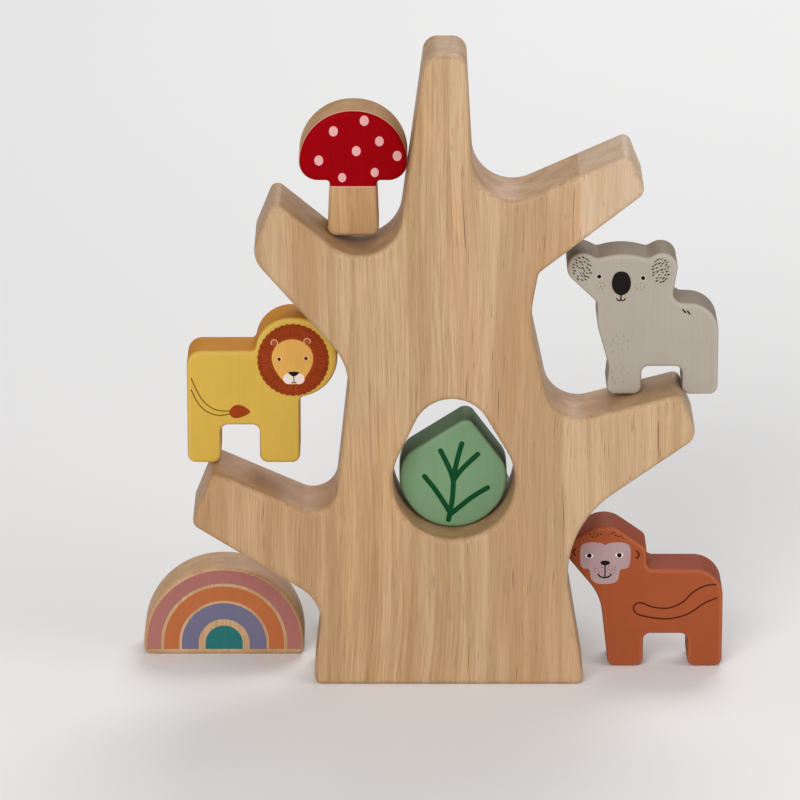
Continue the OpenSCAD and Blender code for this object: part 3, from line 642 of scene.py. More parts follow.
# %% Helpers of the saw
def glue_line(name, other):
    """Lowest and highest point of the glue line between two boards."""
    shared = [pair for first, second, pair in glue_pairs if {first, second} == {name, other}]
    points = np.concatenate(shared)
    order = np.argsort(points[:, 1])
    return points[order[0]], points[order[-1]]


def keep_island(wood, middle):
    """Keep the connected part whose box lies nearest to a middle."""
    left = set(wood.verts)
    islands = []
    while left:
        island = set()
        edge_of_island = [left.pop()]
        while edge_of_island:
            point = edge_of_island.pop()
            island.add(point)
            fresh = {edge.other_vert(point) for edge in point.link_edges} & left
            left -= fresh
            edge_of_island.extend(fresh)
        islands.append(island)

    def off_middle(island):
        corners = np.array([point.co for point in island])
        return (Vector((corners.min(0) + corners.max(0)) / 2) - middle).length

    islands.sort(key=off_middle)
    spare = [point for island in islands[1:] for point in island]
    bmesh.ops.delete(wood, geom=spare, context="VERTS")


# %% Saw the tree along its glue lines
def sawn_board(name):
    """The part of the whole tree that belongs to one board."""
    low, high = (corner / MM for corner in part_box(name))
    wood = slab(tree_loops, low.y, high.y - low.y, TREE_RIM)
    middle = (low + high) / 2
    for other in sorted({second for first, second, pair in glue_pairs if first == name}):
        start, end = glue_line(name, other)
        across = Vector((end[1] - start[1], 0, start[0] - end[0])).normalized()
        if across.dot(Vector((middle.x - start[0], 0, middle.z - start[1]))) > 0:
            across = -across
        spot = (start[0] * MM, 0, start[1] * MM)
        edges = cut_edges(wood, spot, across, dist=MERGED, clear_outer=True)
        for face in bmesh.ops.holes_fill(wood, edges=edges, sides=0)["faces"]:
            face.smooth = False
            for edge in face.edges:
                edge.smooth = False
    keep_island(wood, middle * MM)
    return wood


for name, tones in BOARDS.items():
    board_wood = wood_finish("wood_of_" + name, *tones)
    board = piece("sanded_" + name, sawn_board(name), board_wood, "tree")
    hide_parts(name)
    print(board.name, len(board.data.polygons), "faces")

# %% [markdown]
# ## The loose blocks
#
# Each block is a slab with its own outline. The animals and the bush are painted all round. The mushroom and
# the rainbow are bare wood, and only their faces are printed.

# %% Painted and bare blocks
BLOCK_RIM = 1.6
# A painted block gives its face colour, a side colour that is darker partly as painted shade, a rim colour
# that is paler partly as painted highlight, its cloudiness and its seed.
BLOCK_FINISHES = {
    "koala": paint_finish("koala_grey", (172, 163, 150), (135, 122, 106), (200, 192, 179), 0.14, 1.0),
    "lion": paint_finish("lion_yellow", (206, 169, 72), (196, 130, 26), (230, 190, 106), 0.16, 2.0),
    "monkey": paint_finish("monkey_brown", (160, 81, 46), (138, 57, 20), (192, 114, 78), 0.16, 3.0),
    "bush": paint_finish("bush_green", (121, 156, 118), (92, 122, 88), (150, 180, 145), 0.16, 4.0),
    "mushroom": wood_finish(
        "mushroom_wood", (206, 168, 125), (190, 150, 107), (152, 106, 64), 0.24, 0.3, 7.0
    ),
    "rainbow": wood_finish(
        "rainbow_wood", (208, 172, 132), (194, 156, 115), (158, 114, 74), 0.35, 0.4, 8.0
    ),
    "hedgehog": paint_finish("hedgehog_brown", (128, 94, 68), (108, 77, 54), (158, 124, 96), 0.16, 5.0),
    "donkey": paint_finish("donkey_grey", (124, 138, 150), (104, 117, 128), (152, 165, 175), 0.14, 6.0),
    "crocodile": paint_finish("crocodile_green", (86, 132, 78), (68, 108, 62), (120, 162, 110), 0.16, 7.0),
}
block_box = {}
for block, block_finish in BLOCK_FINISHES.items():
    node = block + "_block"
    low, high = (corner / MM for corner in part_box(node))
    block_box[block] = (low, high)
    mesh = slab(outline(cut_pairs(node, (low.y + high.y) / 2)), low.y, high.y - low.y, BLOCK_RIM)
    made = piece("sanded_" + node, mesh, block_finish, block)
    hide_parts(node)
    print(made.name, len(made.data.polygons), "faces")

# %% [markdown]
# ## Printed ink
#
# The faces and patterns are printed on the flat fronts and backs. A texture could draw them, but thin slips
# of ink with clean outlines stay sharp at any distance. A slip in the first layer stands a twentieth of a
# millimetre out of the face, and one in the second layer, printed on the first, twice as far. The shapes of
# one print differ a hair in height, so that no two that overlap lie in one plane. Points of a print are
# millimetres across and up from a mark on the block, such as the corner of a foot.

# %% Smooth lines and patches
CURVE_STEPS = 8


def smooth_line(points, closed=False):
    """Points on a smooth curve through the given ones."""
    points = np.array(points, float)
    if closed:
        padded = np.concatenate([points[-1:], points, points[:2]])
    else:
        padded = np.concatenate([2 * points[:1] - points[1:2], points, 2 * points[-1:] - points[-2:-1]])
    parts = []
    t = np.arange(CURVE_STEPS)[:, None] / CURVE_STEPS
    for a, b, c, d in zip(padded, padded[1:], padded[2:], padded[3:]):
        square = 2 * a - 5 * b + 4 * c - d
        cube = 3 * b - a - 3 * c + d
        parts.append(0.5 * (2 * b + (c - a) * t + square * t**2 + cube * t**3))
    if not closed:
        parts.append(points[-1:])
    return np.concatenate(parts)


def ink_patch(points):
    """Closed patch with a smooth edge through points."""
    return smooth_line(points, closed=True)


# %% Ovals and pen lines
LINE_END_STEPS = 7


def ink_oval(x, z, half_width, half_height, top_heavy=0.0, count=32):
    """Oval, wider at its top where top_heavy is over 0."""
    angle = np.linspace(0, 2 * np.pi, count, endpoint=False)
    across = half_width * np.cos(angle) * (1 + top_heavy * np.sin(angle))
    return np.stack([x + across, z + half_height * np.sin(angle)], 1)


def ink_line(points, width, far_share=1.0):
    """Pen line through points with round ends, narrowed to a share of its width at the far end."""
    line = smooth_line(points)
    ahead = np.gradient(line, axis=0)
    ahead /= np.linalg.norm(ahead, axis=1)[:, None]
    half = np.linspace(width, width * far_share, len(line))[:, None] / 2
    left = np.stack([-ahead[:, 1], ahead[:, 0]], 1) * half
    around = np.linspace(-np.pi / 2, np.pi / 2, LINE_END_STEPS)[1:-1]
    turn = math.atan2(ahead[-1, 1], ahead[-1, 0]) + around
    far_end = line[-1] + half[-1] * np.stack([np.cos(turn), np.sin(turn)], 1)
    turn = math.atan2(ahead[0, 1], ahead[0, 0]) + np.pi + around
    near_end = line[0] + half[0] * np.stack([np.cos(turn), np.sin(turn)], 1)
    return np.concatenate([line - left, far_end, (line + left)[::-1], near_end])


# %% Ink slips on both faces of a block
INK = 0.05
OVERPRINT = 0.003
MARKS = {
    "koala": (13.5, 0.0),
    "lion": (0.0, 0.0),
    "monkey": (14.0, 0.0),
    "bush": (18.6, 0.0),
    "mushroom": (18.4, 0.0),
    "rainbow": (28.0, 4.3),
    "hedgehog": (0.0, 0.0),
    "donkey": (9.0, 0.0),
    "crocodile": (0.0, 0.0),
}


def mark_of(block):
    """Place of a block's mark on its front face."""
    low = block_box[block][0]
    across, up = MARKS[block]
    return Vector((low.x + across, low.y, low.z + up))


def ink_slip(mesh, loop, outer, inner):
    """Add one thin slip between two depths to a mesh."""
    near = [mesh.verts.new((x * MM, outer * MM, z * MM)) for x, z in loop]
    far = [mesh.verts.new((x * MM, inner * MM, z * MM)) for x, z in loop]
    count = len(loop)
    mesh.faces.new(near)
    mesh.faces.new(far[::-1])
    for k in range(count):
        mesh.faces.new((near[k], far[k], far[(k + 1) % count], near[(k + 1) % count]))


def print_mesh(block, name, ink, mesh):
    """Make a piece of printed ink from the mesh of its slips."""
    bmesh.ops.recalc_face_normals(mesh, faces=mesh.faces)
    made = piece(block + "_" + name, mesh, ink, block)
    print(made.name, len(made.data.polygons), "faces")


def ink_of(block, name, ink, loops, layer=1):
    """Print loops on the front and back of a block."""
    low, high = block_box[block]
    mark = mark_of(block)
    mesh = bmesh.new()
    for k, loop in enumerate(loops):
        placed = loop + np.array([mark.x, mark.z])
        proud = INK * layer + OVERPRINT * k
        ink_slip(mesh, placed, low.y - proud, low.y + INK)
        ink_slip(mesh, placed, high.y + proud, high.y - INK)
    print_mesh(block, name, ink, mesh)


INKS = {
    "black": ink_finish("black_ink", (22, 18, 14), 0.3),
    "white": ink_finish("white_ink", (232, 222, 214)),
    "umber": ink_finish("umber_ink", (78, 30, 16), 0.3),
}
print("shared inks:", ", ".join(INKS))

# %% [markdown]
# ## Trees of nodes for what repeats
#
# Dots, hatching, freckles and hairs repeat by the dozen. A small drawn mark, the stamp, is placed many times
# by Geometry Nodes, which also give each copy a slightly different size and slant from a fixed seed. Three
# node trees are enough: one scatters marks over a patch, one sets them in a ring, and one sets them at given
# places.

# %% Stamp that the node trees copy
stamps = []


def stamp(name, loop, layer=1):
    """Small ink slip at the origin, for the node trees to copy."""
    mesh = bmesh.new()
    ink_slip(mesh, loop, -INK * layer, INK)
    bmesh.ops.recalc_face_normals(mesh, faces=mesh.faces)
    stamps.append(new_object(name, mesh_data(name, mesh)))
    return stamps[-1]


# %% Shared end of the node trees
SLANT_SEED_STEP = 7.0
GEOMETRY = {"Geometry": SHAPE}
MARK_SOCKETS = {
    "Mark": "NodeSocketObject",
    "Least Size": NUMBER,
    "Most Size": NUMBER,
    "Slant": NUMBER,
    "Slant Spread": NUMBER,
    "Seed": COUNT,
    "Ink": FINISH,
}


def random_value(tree, low, high, seed):
    """Random number for each copy. Sockets 2, 3 and 8 are the least, the most and the seed."""
    return wired(tree, "FunctionNodeRandomValue", {2: low, 3: high, 8: seed}).outputs[1]


def inked(tree, entry, leave, shape):
    """Make the copies in a shape real, give them their ink and lead them out of the tree."""
    real = result(tree, "GeometryNodeRealizeInstances", {"Geometry": shape})
    done = result(tree, "GeometryNodeSetMaterial", {"Geometry": real, "Material": entry["Ink"]})
    tree.links.new(done, leave["Geometry"])


def place_marks(tree, entry, leave, points, turn=0.0):
    """Copy the mark to points with a turn about the depth."""
    mark = wired(tree, "GeometryNodeObjectInfo", {"Object": entry["Mark"]}).outputs["Geometry"]
    size = random_value(tree, entry["Least Size"], entry["Most Size"], entry["Seed"])
    lowest = sums(tree, "MULTIPLY", entry["Slant Spread"], -1.0)
    slant_seed = sums(tree, "ADD", entry["Seed"], SLANT_SEED_STEP)
    jitter = random_value(tree, lowest, entry["Slant Spread"], slant_seed)
    slant = sums(tree, "ADD", sums(tree, "ADD", entry["Slant"], jitter), turn)
    rotation = result(tree, "ShaderNodeCombineXYZ", {"Y": slant})
    inputs = {"Points": points, "Instance": mark, "Rotation": rotation, "Scale": size}
    inked(tree, entry, leave, result(tree, "GeometryNodeInstanceOnPoints", inputs))
    print(tree.name, "nodes:", len(tree.nodes))


# %% Marks scattered over a patch, and marks at given places
DENSEST = 8e6

sockets = GEOMETRY | {"Gap": NUMBER} | MARK_SOCKETS
scatter, entry, leave = new_group("scattered_marks", "GeometryNodeTree", sockets, GEOMETRY)
inputs = {"Mesh": entry["Geometry"], "Distance Min": entry["Gap"], "Seed": entry["Seed"]}
inputs["Density Max"] = DENSEST
points = result(scatter, "GeometryNodeDistributePointsOnFaces", inputs, distribute_method="POISSON")
place_marks(scatter, entry, leave, points)

placed, entry, leave = new_group("placed_marks", "GeometryNodeTree", GEOMETRY | MARK_SOCKETS, GEOMETRY)
place_marks(placed, entry, leave, entry["Geometry"])

# %% Marks in an upright ring that point outwards
sockets = GEOMETRY | {"Count": COUNT, "Radius": NUMBER, "Middle": VECTOR, "Stretch": NUMBER} | MARK_SOCKETS
ring, entry, leave = new_group("ring_of_marks", "GeometryNodeTree", sockets, GEOMETRY)
circle = result(ring, "GeometryNodeMeshCircle", {"Vertices": entry["Count"], "Radius": entry["Radius"]})
upright = result(ring, "GeometryNodeTransform", {"Geometry": circle, "Rotation": (math.pi / 2, 0, 0)})
stretch = result(ring, "ShaderNodeCombineXYZ", {"X": 1.0, "Y": 1.0, "Z": entry["Stretch"]})
inputs = {"Geometry": upright, "Translation": entry["Middle"], "Scale": stretch}
oval = result(ring, "GeometryNodeTransform", inputs)
inputs = {0: result(ring, "GeometryNodeInputPosition", {}), 1: entry["Middle"]}
from_middle = result(ring, "ShaderNodeVectorMath", inputs, operation="SUBTRACT")
axes = wired(ring, "ShaderNodeSeparateXYZ", {0: from_middle}).outputs
place_marks(ring, entry, leave, oval, sums(ring, "ARCTAN2", axes["X"], axes["Z"]))

# %% Grow a tree into a plain mesh
def grown(name, tree, host, values):
    """Mesh data that a node tree makes from a host mesh and named values."""
    carrier = new_object(name, host)
    modifier = carrier.modifiers.new("nodes", "NODES")
    modifier.node_group = tree
    names = {item.name: item.identifier for item in tree.interface.items_tree if item.in_out == "INPUT"}
    for label, value in values.items():
        modifier[names[label]] = value
    view_layer = bpy.context.evaluated_depsgraph_get()
    data = bpy.data.meshes.new_from_object(carrier.evaluated_get(view_layer))
    bpy.data.objects.remove(carrier)
    return data


def grown_ink(block, name, ink, tree, host, values):
    """Print what a node tree grows on the front of a block, and the same on its back."""
    low, high = block_box[block]
    mesh = bmesh.new()
    mesh.from_mesh(grown(name, tree, host, values | {"Ink": ink}))
    front = mesh.verts[:] + mesh.edges[:] + mesh.faces[:]
    for part in bmesh.ops.duplicate(mesh, geom=front)["geom"]:
        if isinstance(part, bmesh.types.BMVert):
            part.co.y = (low.y + high.y) * MM - part.co.y
    for face in mesh.faces:
        face.smooth = False
    print_mesh(block, name, ink, mesh)


# %% Prints of scattered and placed marks
def on_face(block, points):
    """Places in metres of the points of a print on the front of a block."""
    mark = mark_of(block)
    return [((x + mark.x) * MM, mark.y * MM, (z + mark.z) * MM) for x, z in points]


def mark_values(mark, seed, sizes=(0.8, 1.2), slant=0.0, jitter=0.0):
    """Values that the node trees share: sizes as shares of the stamp, slant and jitter in radians."""
    values = {"Mark": mark, "Least Size": sizes[0], "Most Size": sizes[1], "Seed": seed}
    return values | {"Slant": slant, "Slant Spread": jitter}


def scattered_ink(block, name, ink, patches, mark, gap, **look):
    """Print marks all over patches of a block, no two closer than a gap."""
    corners = []
    faces = []
    for patch in patches:
        faces.append(list(range(len(corners), len(corners) + len(patch))))
        corners += on_face(block, patch)
    host = bpy.data.meshes.new("patches")
    host.from_pydata(corners, [], faces)
    grown_ink(block, name, ink, scatter, host, mark_values(mark, **look) | {"Gap": gap * MM})


def placed_ink(block, name, ink, points, mark, **look):
    """Print a mark at each point of a block."""
    host = bpy.data.meshes.new("points")
    host.from_pydata(on_face(block, points), [], [])
    grown_ink(block, name, ink, placed, host, mark_values(mark, **look))


# %% [markdown]
# ## Mushroom
#
# The cap is printed red on its face and a little way round its sanded rim, where the ink ends in a thin pale
# line. That line is partly the edge of the print and partly a painted highlight on the rim. The stem and the
# sawn sides stay bare. A slip of ink could not follow the rim, so the red is mixed into the wood's own
# material: it is masked by the height of the stem's top and by rim_turn.

# %% Red cap
STEM_TOP = 17.6
CAP_EDGE = 0.05
PALE_LINE = 0.35
# The pale colour and its reach round the rim are partly the print's edge and partly a painted highlight.
RED_REACH = 0.60
PALE_HIGHLIGHT_REACH = 0.78
REACH_FADE = 0.08
CAP_RED = srgb(150, 0, 10)
CAP_PALE_EDGE_AND_HIGHLIGHT = srgb(222, 168, 146)
CAP_GLOSS = 0.03
CAP_CLOUD = 0.25
CAP_SEED = 3.0


def print_cap(material, level):
    """Print a wooden cap's face red above a level, ending in a pale line that is partly painted highlight."""
    tree = material.node_tree
    shader = tree.nodes["Principled BSDF"].inputs
    place = tree.nodes["Texture Coordinate"].outputs["Object"]
    rim = tree.nodes["Attribute"].outputs["Fac"]
    bare = tree.nodes["Group"].outputs["Color"]
    height = wired(tree, "ShaderNodeSeparateXYZ", {0: place}).outputs["Z"]

    def face_above(low_level, reach):
        over = spread(tree, height, low_level * MM, (low_level + CAP_EDGE) * MM)
        return sums(tree, "MULTIPLY", over, spread(tree, rim, reach + REACH_FADE, reach))

    inputs = {"Face": CAP_RED, "Side": CAP_RED, "Wear And Highlight": CAP_RED}
    inputs |= {"Vector": place, "Cloud": CAP_CLOUD, "Seed": CAP_SEED}
    red = wired(tree, "ShaderNodeGroup", inputs, node_tree=paint).outputs["Color"]
    # Pale line: partly the edge of the print, partly a painted highlight along the cap's rim.
    pale_edged_and_lit = blended(tree, face_above(level - PALE_LINE, PALE_HIGHLIGHT_REACH), bare, CAP_PALE_EDGE_AND_HIGHLIGHT)
    tree.links.new(blended(tree, face_above(level, RED_REACH), pale_edged_and_lit, red), shader["Base Color"])
    shader["Specular IOR Level"].default_value = CAP_GLOSS
    print(material.name, "nodes:", len(tree.nodes))


print_cap(BLOCK_FINISHES["mushroom"], mark_of("mushroom").z + STEM_TOP)

# %% Pale dots
CAP_DOTS = [
    (-6.6, 36.9), (8.9, 33.4), (1.1, 30.0), (-11.6, 26.7), (14.9, 28.3), (-3.7, 20.7), (7.3, 22.5),
    (3.8, 40.6),
]
dot = stamp("cap_dot", ink_oval(0, 0, 1.42, 1.68, count=24))
dot_ink = ink_finish("cap_dot_ink", (226, 168, 164))
placed_ink("mushroom", "cap_dots", dot_ink, CAP_DOTS, dot, seed=3, sizes=(0.92, 1.08))

# %% [markdown]
# ## Rainbow
#
# Four colours lie under each other with thin lines of bare wood between them. The three bands follow one
# rule: a half circle with two straight legs. A node tree lays a row of points along that path and sweeps a
# flat profile along it, so a band is no more than its two radii and its colour. The fourth colour is a plain
# half disc on short legs.

# %% Path of an arch
sockets = GEOMETRY | {"Radius": NUMBER, "Width": NUMBER, "Leg": NUMBER, "Thickness": NUMBER}
sockets |= {"Middle": VECTOR, "Count": COUNT, "Ink": FINISH}
arch, entry, leave = new_group("arch_band", "GeometryNodeTree", sockets, GEOMETRY)
radius, leg = entry["Radius"], entry["Leg"]
row = result(arch, "GeometryNodeMeshLine", {"Count": entry["Count"]})
index = result(arch, "GeometryNodeInputIndex", {})
share = sums(arch, "DIVIDE", index, sums(arch, "SUBTRACT", entry["Count"], 1.0))
half_turn = sums(arch, "MULTIPLY", radius, math.pi)
whole_way = sums(arch, "ADD", half_turn, sums(arch, "MULTIPLY", leg, 2.0))
way = sums(arch, "SUBTRACT", sums(arch, "MULTIPLY", share, whole_way), leg)
inputs = {"Value": sums(arch, "DIVIDE", way, radius), "Min": 0.0, "Max": math.pi}
angle = result(arch, "ShaderNodeClamp", inputs)
down = sums(arch, "ABSOLUTE", sums(arch, "SUBTRACT", way, sums(arch, "MULTIPLY", radius, angle)))
out = sums(arch, "MULTIPLY", radius, sums(arch, "COSINE", angle))
rise = sums(arch, "MULTIPLY", radius, sums(arch, "SINE", angle))
spot = result(arch, "ShaderNodeCombineXYZ", {"X": out, "Z": sums(arch, "SUBTRACT", rise, down)})
bent = result(arch, "GeometryNodeSetPosition", {"Geometry": row, "Position": spot})
path = result(arch, "GeometryNodeMeshToCurve", {"Mesh": bent})
print("nodes of the path:", len(arch.nodes))

# %% Band swept along the arch
inputs = {"Curve": path, "Normal": (0.0, 1.0, 0.0)}
flat_path = result(arch, "GeometryNodeSetCurveNormal", inputs, mode="FREE")
inputs = {"Width": entry["Thickness"], "Height": entry["Width"]}
profile = result(arch, "GeometryNodeCurvePrimitiveQuadrilateral", inputs)
inputs = {"Curve": flat_path, "Profile Curve": profile, "Fill Caps": True}
swept = result(arch, "GeometryNodeCurveToMesh", inputs)
inputs = {"Geometry": swept, "Translation": entry["Middle"]}
inked(arch, entry, leave, result(arch, "GeometryNodeTransform", inputs))
print("arch_band nodes:", len(arch.nodes))

# %% Colours of the rainbow
LEG_DOWN = 2.2
ARCH_POINTS = 97
BANDS = {
    "pink_band": (22.1, 26.95, (170, 111, 104)),
    "orange_band": (15.75, 21.0, (186, 108, 64)),
    "purple_band": (8.9, 14.8, (113, 111, 137)),
}
CORE = 6.5
CORE_POINTS = 40
for name, (inner, outer, colour) in BANDS.items():
    values = {
        "Radius": (inner + outer) / 2 * MM,
        "Width": (outer - inner) * MM,
        "Leg": LEG_DOWN * MM,
        "Thickness": 2 * INK * MM,
        "Middle": mark_of("rainbow") * MM,
        "Count": ARCH_POINTS,
    }
    band_ink = ink_finish(name + "_ink", colour, 0.2)
    grown_ink("rainbow", name, band_ink, arch, bpy.data.meshes.new(name), values)
core = [(CORE * math.cos(a), CORE * math.sin(a)) for a in np.linspace(0, math.pi, CORE_POINTS)]
core += [(-CORE, -LEG_DOWN), (CORE, -LEG_DOWN)]
ink_of("rainbow", "teal_core", ink_finish("teal_core_ink", (42, 116, 116), 0.2), [np.array(core)])

# %% [markdown]
# ## Bush
#
# A sapling is drawn on the bush in dark green: one stem, three twigs at its top and two low twigs. All six
# are pen lines of one width, so the print is a list of paths.

# %% Stem and twigs
TWIG = 1.75
TWIG_PATHS = [
    [(-1.7, 2.8), (-0.9, 7.0), (-0.3, 11.5), (0.0, 17.5)],
    [(0.0, 16.6), (-0.9, 20.0), (-2.6, 24.0), (-4.5, 27.9)],
    [(0.0, 17.0), (0.6, 21.5), (1.6, 26.0), (2.8, 30.4)],
    [(0.2, 17.4), (2.4, 20.6), (5.4, 23.8), (8.3, 26.6)],
    [(-1.2, 5.4), (-3.6, 9.6), (-6.6, 14.2), (-10.0, 18.6)],
    [(-1.3, 4.6), (2.2, 7.6), (6.6, 11.2), (11.7, 14.5)],
]
twig_ink = ink_finish("twig_green_ink", (8, 72, 34), 0.25)
ink_of("bush", "stem_and_twigs", twig_ink, [ink_line(path, TWIG) for path in TWIG_PATHS])

# %% [markdown]
# ## Koala
#
# The face has two small eyes in pale rings, a big black nose and a short mouth. Both ears are filled with
# slanted hatching, and a few faint dashes mark the fur of the chest and the leg. Drawing each dash by hand
# would be slow and stiff, so they are scattered over patches.

# %% Koala face
KOALA_EYES = [(-2.62, 42.26), (12.28, 41.75)]
KOALA_EYE = 0.72
KOALA_HALO = 1.05
koala_nose = ink_patch(
    [
        (4.9, 44.1), (6.8, 43.5), (7.9, 41.6), (8.15, 39.4), (7.55, 37.3), (6.2, 36.0), (4.9, 35.7),
        (3.6, 36.0), (2.3, 37.3), (1.7, 39.4), (1.95, 41.6), (3.0, 43.5),
    ]
)
koala_mouth = [
    ink_line([(4.85, 36.2), (4.85, 35.0), (4.83, 33.9)], 0.5),
    ink_line([(3.4, 34.5), (3.75, 33.95), (4.3, 33.75), (4.83, 34.0)], 0.38),
    ink_line([(4.83, 34.0), (5.4, 33.75), (5.95, 33.95), (6.3, 34.5)], 0.38),
]
back_dashes = [
    ink_line([(26.0, 30.5), (26.9, 29.5)], 0.5),
    ink_line([(27.6, 30.0), (28.4, 28.9)], 0.5),
]
koala_eyes = [ink_oval(x, z, KOALA_EYE, KOALA_EYE) for x, z in KOALA_EYES]
ink_of("koala", "face", INKS["black"], koala_eyes + [koala_nose] + koala_mouth + back_dashes, layer=2)
halo_ink = ink_finish("koala_halo_ink", (196, 188, 176))
ink_of("koala", "eye_halos", halo_ink, [ink_oval(x, z, KOALA_HALO, KOALA_HALO) for x, z in KOALA_EYES])

# %% Koala ears and fur
EAR_PATCHES = {
    "left_ear_hatching": (ink_oval(-8.5, 45.1, 3.1, 4.1), -0.9),
    "right_ear_hatching": (ink_oval(18.3, 44.5, 2.8, 4.2), 1.0),
}
dash = stamp("hatch_dash", ink_line([(0, -0.3), (0, 0), (0, 0.3)], 0.38, 0.75))
speck = stamp("speck", ink_oval(0, 0, 0.2, 0.2, count=10))
for name, (patch, slant) in EAR_PATCHES.items():
    scattered_ink("koala", name, INKS["black"], [patch], dash, gap=0.95, seed=5, slant=slant, jitter=0.12)
cheeks = [ink_oval(-2.0, 39.0, 1.5, 1.2), ink_oval(11.2, 38.8, 1.7, 1.2)]
freckle_ink = ink_finish("koala_freckle_ink", (118, 110, 100))
scattered_ink("koala", "cheek_freckles", freckle_ink, cheeks, speck, gap=0.9, seed=4)
chest = [ink_oval(4.6, 18.0, 3.0, 3.6), ink_oval(4.6, 7.2, 3.0, 3.2)]
fur_ink = ink_finish("koala_fur_ink", (150, 146, 130))
scattered_ink("koala", "chest_fur", fur_ink, chest, dash, gap=1.9, seed=6, slant=0.2, jitter=0.5)

# %% [markdown]
# ## Lion
#
# A round brown mane with a scalloped edge carries a golden face and two small brown ears. Fine hairs stand
# in three rings on the mane, so the ring tree draws them. The tail is two thin lines along the flank with a
# brown tuft.

# %% Mane and face
MANE = (36.4, 37.2)
MANE_STRETCH = 1.05
MANE_RADIUS = 12.0
MANE_POINTS = 280
SCALLOPS = 19
SCALLOP_HEIGHT = 0.35
LION_EARS = [(30.0, 43.3), (41.2, 43.8)]
mane_angle = np.linspace(0, 2 * np.pi, MANE_POINTS, endpoint=False)
mane_edge = MANE_RADIUS + SCALLOP_HEIGHT * np.abs(np.sin(SCALLOPS * mane_angle))
mane_way = np.stack([np.cos(mane_angle), MANE_STRETCH * np.sin(mane_angle)], 1)
mane_ink = ink_finish("mane_brown_ink", (150, 58, 16), 0.3)
ink_of("lion", "mane", mane_ink, [mane_way * mane_edge[:, None] + np.array(MANE)])
lion_face = ink_patch(
    [
        (36.1, 44.6), (39.4, 43.8), (42.1, 41.5), (43.2, 38.2), (42.6, 34.6), (40.6, 31.2), (38.4, 29.0),
        (36.2, 28.4), (34.0, 29.0), (31.8, 31.2), (29.8, 34.6), (29.1, 38.2), (30.1, 41.5), (32.7, 43.8),
    ]
)
ink_of("lion", "golden_face", ink_finish("lion_face_ink", (216, 164, 82), 0.2), [lion_face], layer=2)
ear_loops = [ink_oval(x, z, 1.15, 1.2) for x, z in LION_EARS]
ink_of("lion", "golden_ears", ink_finish("lion_ear_ink", (164, 76, 40), 0.2), ear_loops, layer=3)

# %% Mane hairs
HAIR_RINGS = {
    "outer_hairs": (120, 11.4, 2),
    "middle_hairs": (56, 10.0, 3),
    "inner_hairs": (84, 8.7, 4),
}
hair = stamp("mane_hair", ink_line([(0, -0.6), (0, 0), (0, 0.6)], 0.17, 0.5), layer=2)
hair_ink = ink_finish("mane_hair_ink", (92, 32, 12), 0.3)
mane_middle = mark_of("lion") + Vector((MANE[0], 0, MANE[1]))
for name, (count, radius, seed) in HAIR_RINGS.items():
    values = mark_values(hair, seed, sizes=(0.7, 1.25), jitter=0.25)
    values |= {"Count": count, "Radius": radius * MM, "Middle": mane_middle * MM, "Stretch": MANE_STRETCH}
    grown_ink("lion", name, hair_ink, ring, bpy.data.meshes.new(name), values)

# %% Lion eyes, muzzle and nose
EAR_ARC = np.linspace(-0.6, math.pi + 0.6, 9)
muzzle = [
    ink_oval(34.9, 30.5, 1.95, 1.95),
    ink_oval(38.35, 30.5, 1.95, 1.95),
    ink_oval(36.6, 29.9, 1.0, 1.1),
]
ink_of("lion", "muzzle", ink_finish("lion_muzzle_ink", (232, 214, 204), 0.2), muzzle, layer=3)
lion_black = [
    ink_oval(31.63, 37.47, 0.6, 0.6),
    ink_oval(40.8, 37.78, 0.6, 0.6),
    ink_patch([(34.75, 32.75), (36.6, 33.0), (38.45, 32.75), (37.6, 31.8), (36.6, 31.3), (35.6, 31.8)]),
    ink_line([(36.6, 31.2), (36.62, 30.3), (36.65, 29.5)], 0.28),
    ink_line([(35.9, 29.2), (36.3, 29.1), (36.65, 29.5)], 0.28),
    ink_line([(36.65, 29.5), (37.0, 29.1), (37.4, 29.2)], 0.28),
]
ink_of("lion", "eyes_and_nose", INKS["black"], lion_black, layer=4)
pale_lines = [ink_oval(31.72, 37.47, 0.95, 0.66), ink_oval(40.85, 37.78, 0.95, 0.66)]
for x, z in LION_EARS:
    arc = np.stack([x + 1.1 * np.cos(EAR_ARC), z + 1.15 * np.sin(EAR_ARC)], 1)
    pale_lines.append(ink_line(arc, 0.2))
ink_of("lion", "pale_lines", ink_finish("lion_cream_ink", (234, 200, 156), 0.2), pale_lines, layer=3.4)

# %% Lion tail
tail = [
    ink_line([(1.5, 30.6), (3.4, 26.2), (5.6, 22.4), (8.6, 19.9), (11.6, 18.9), (15.2, 18.9)], 0.42),
    ink_line([(1.5, 26.4), (3.6, 22.0), (6.0, 19.2), (8.6, 17.8), (11.2, 17.3), (15.0, 17.8)], 0.42),
]
ink_of("lion", "tail", ink_finish("tail_brown_ink", (124, 90, 32), 0.25), tail)
tuft = ink_patch([(14.4, 18.4), (16.0, 20.7), (18.6, 20.9), (21.6, 18.6), (18.4, 16.6), (15.8, 16.5)])
ink_of("lion", "tail_tuft", mane_ink, [tuft], layer=2)
tuft_middle = [ink_oval(17.6, 18.7, 2.4, 1.5)]
scattered_ink("lion", "tuft_specks", INKS["umber"], tuft_middle, speck, gap=0.75, seed=9)

# %% [markdown]
# ## Monkey
#
# A pale patch with two lobes holds the eyes, nose and smile. Small dots mark the brow, where they are placed,
# and the cheeks, where they are scattered. A thin line draws the ears and the tail that curls over the flank.

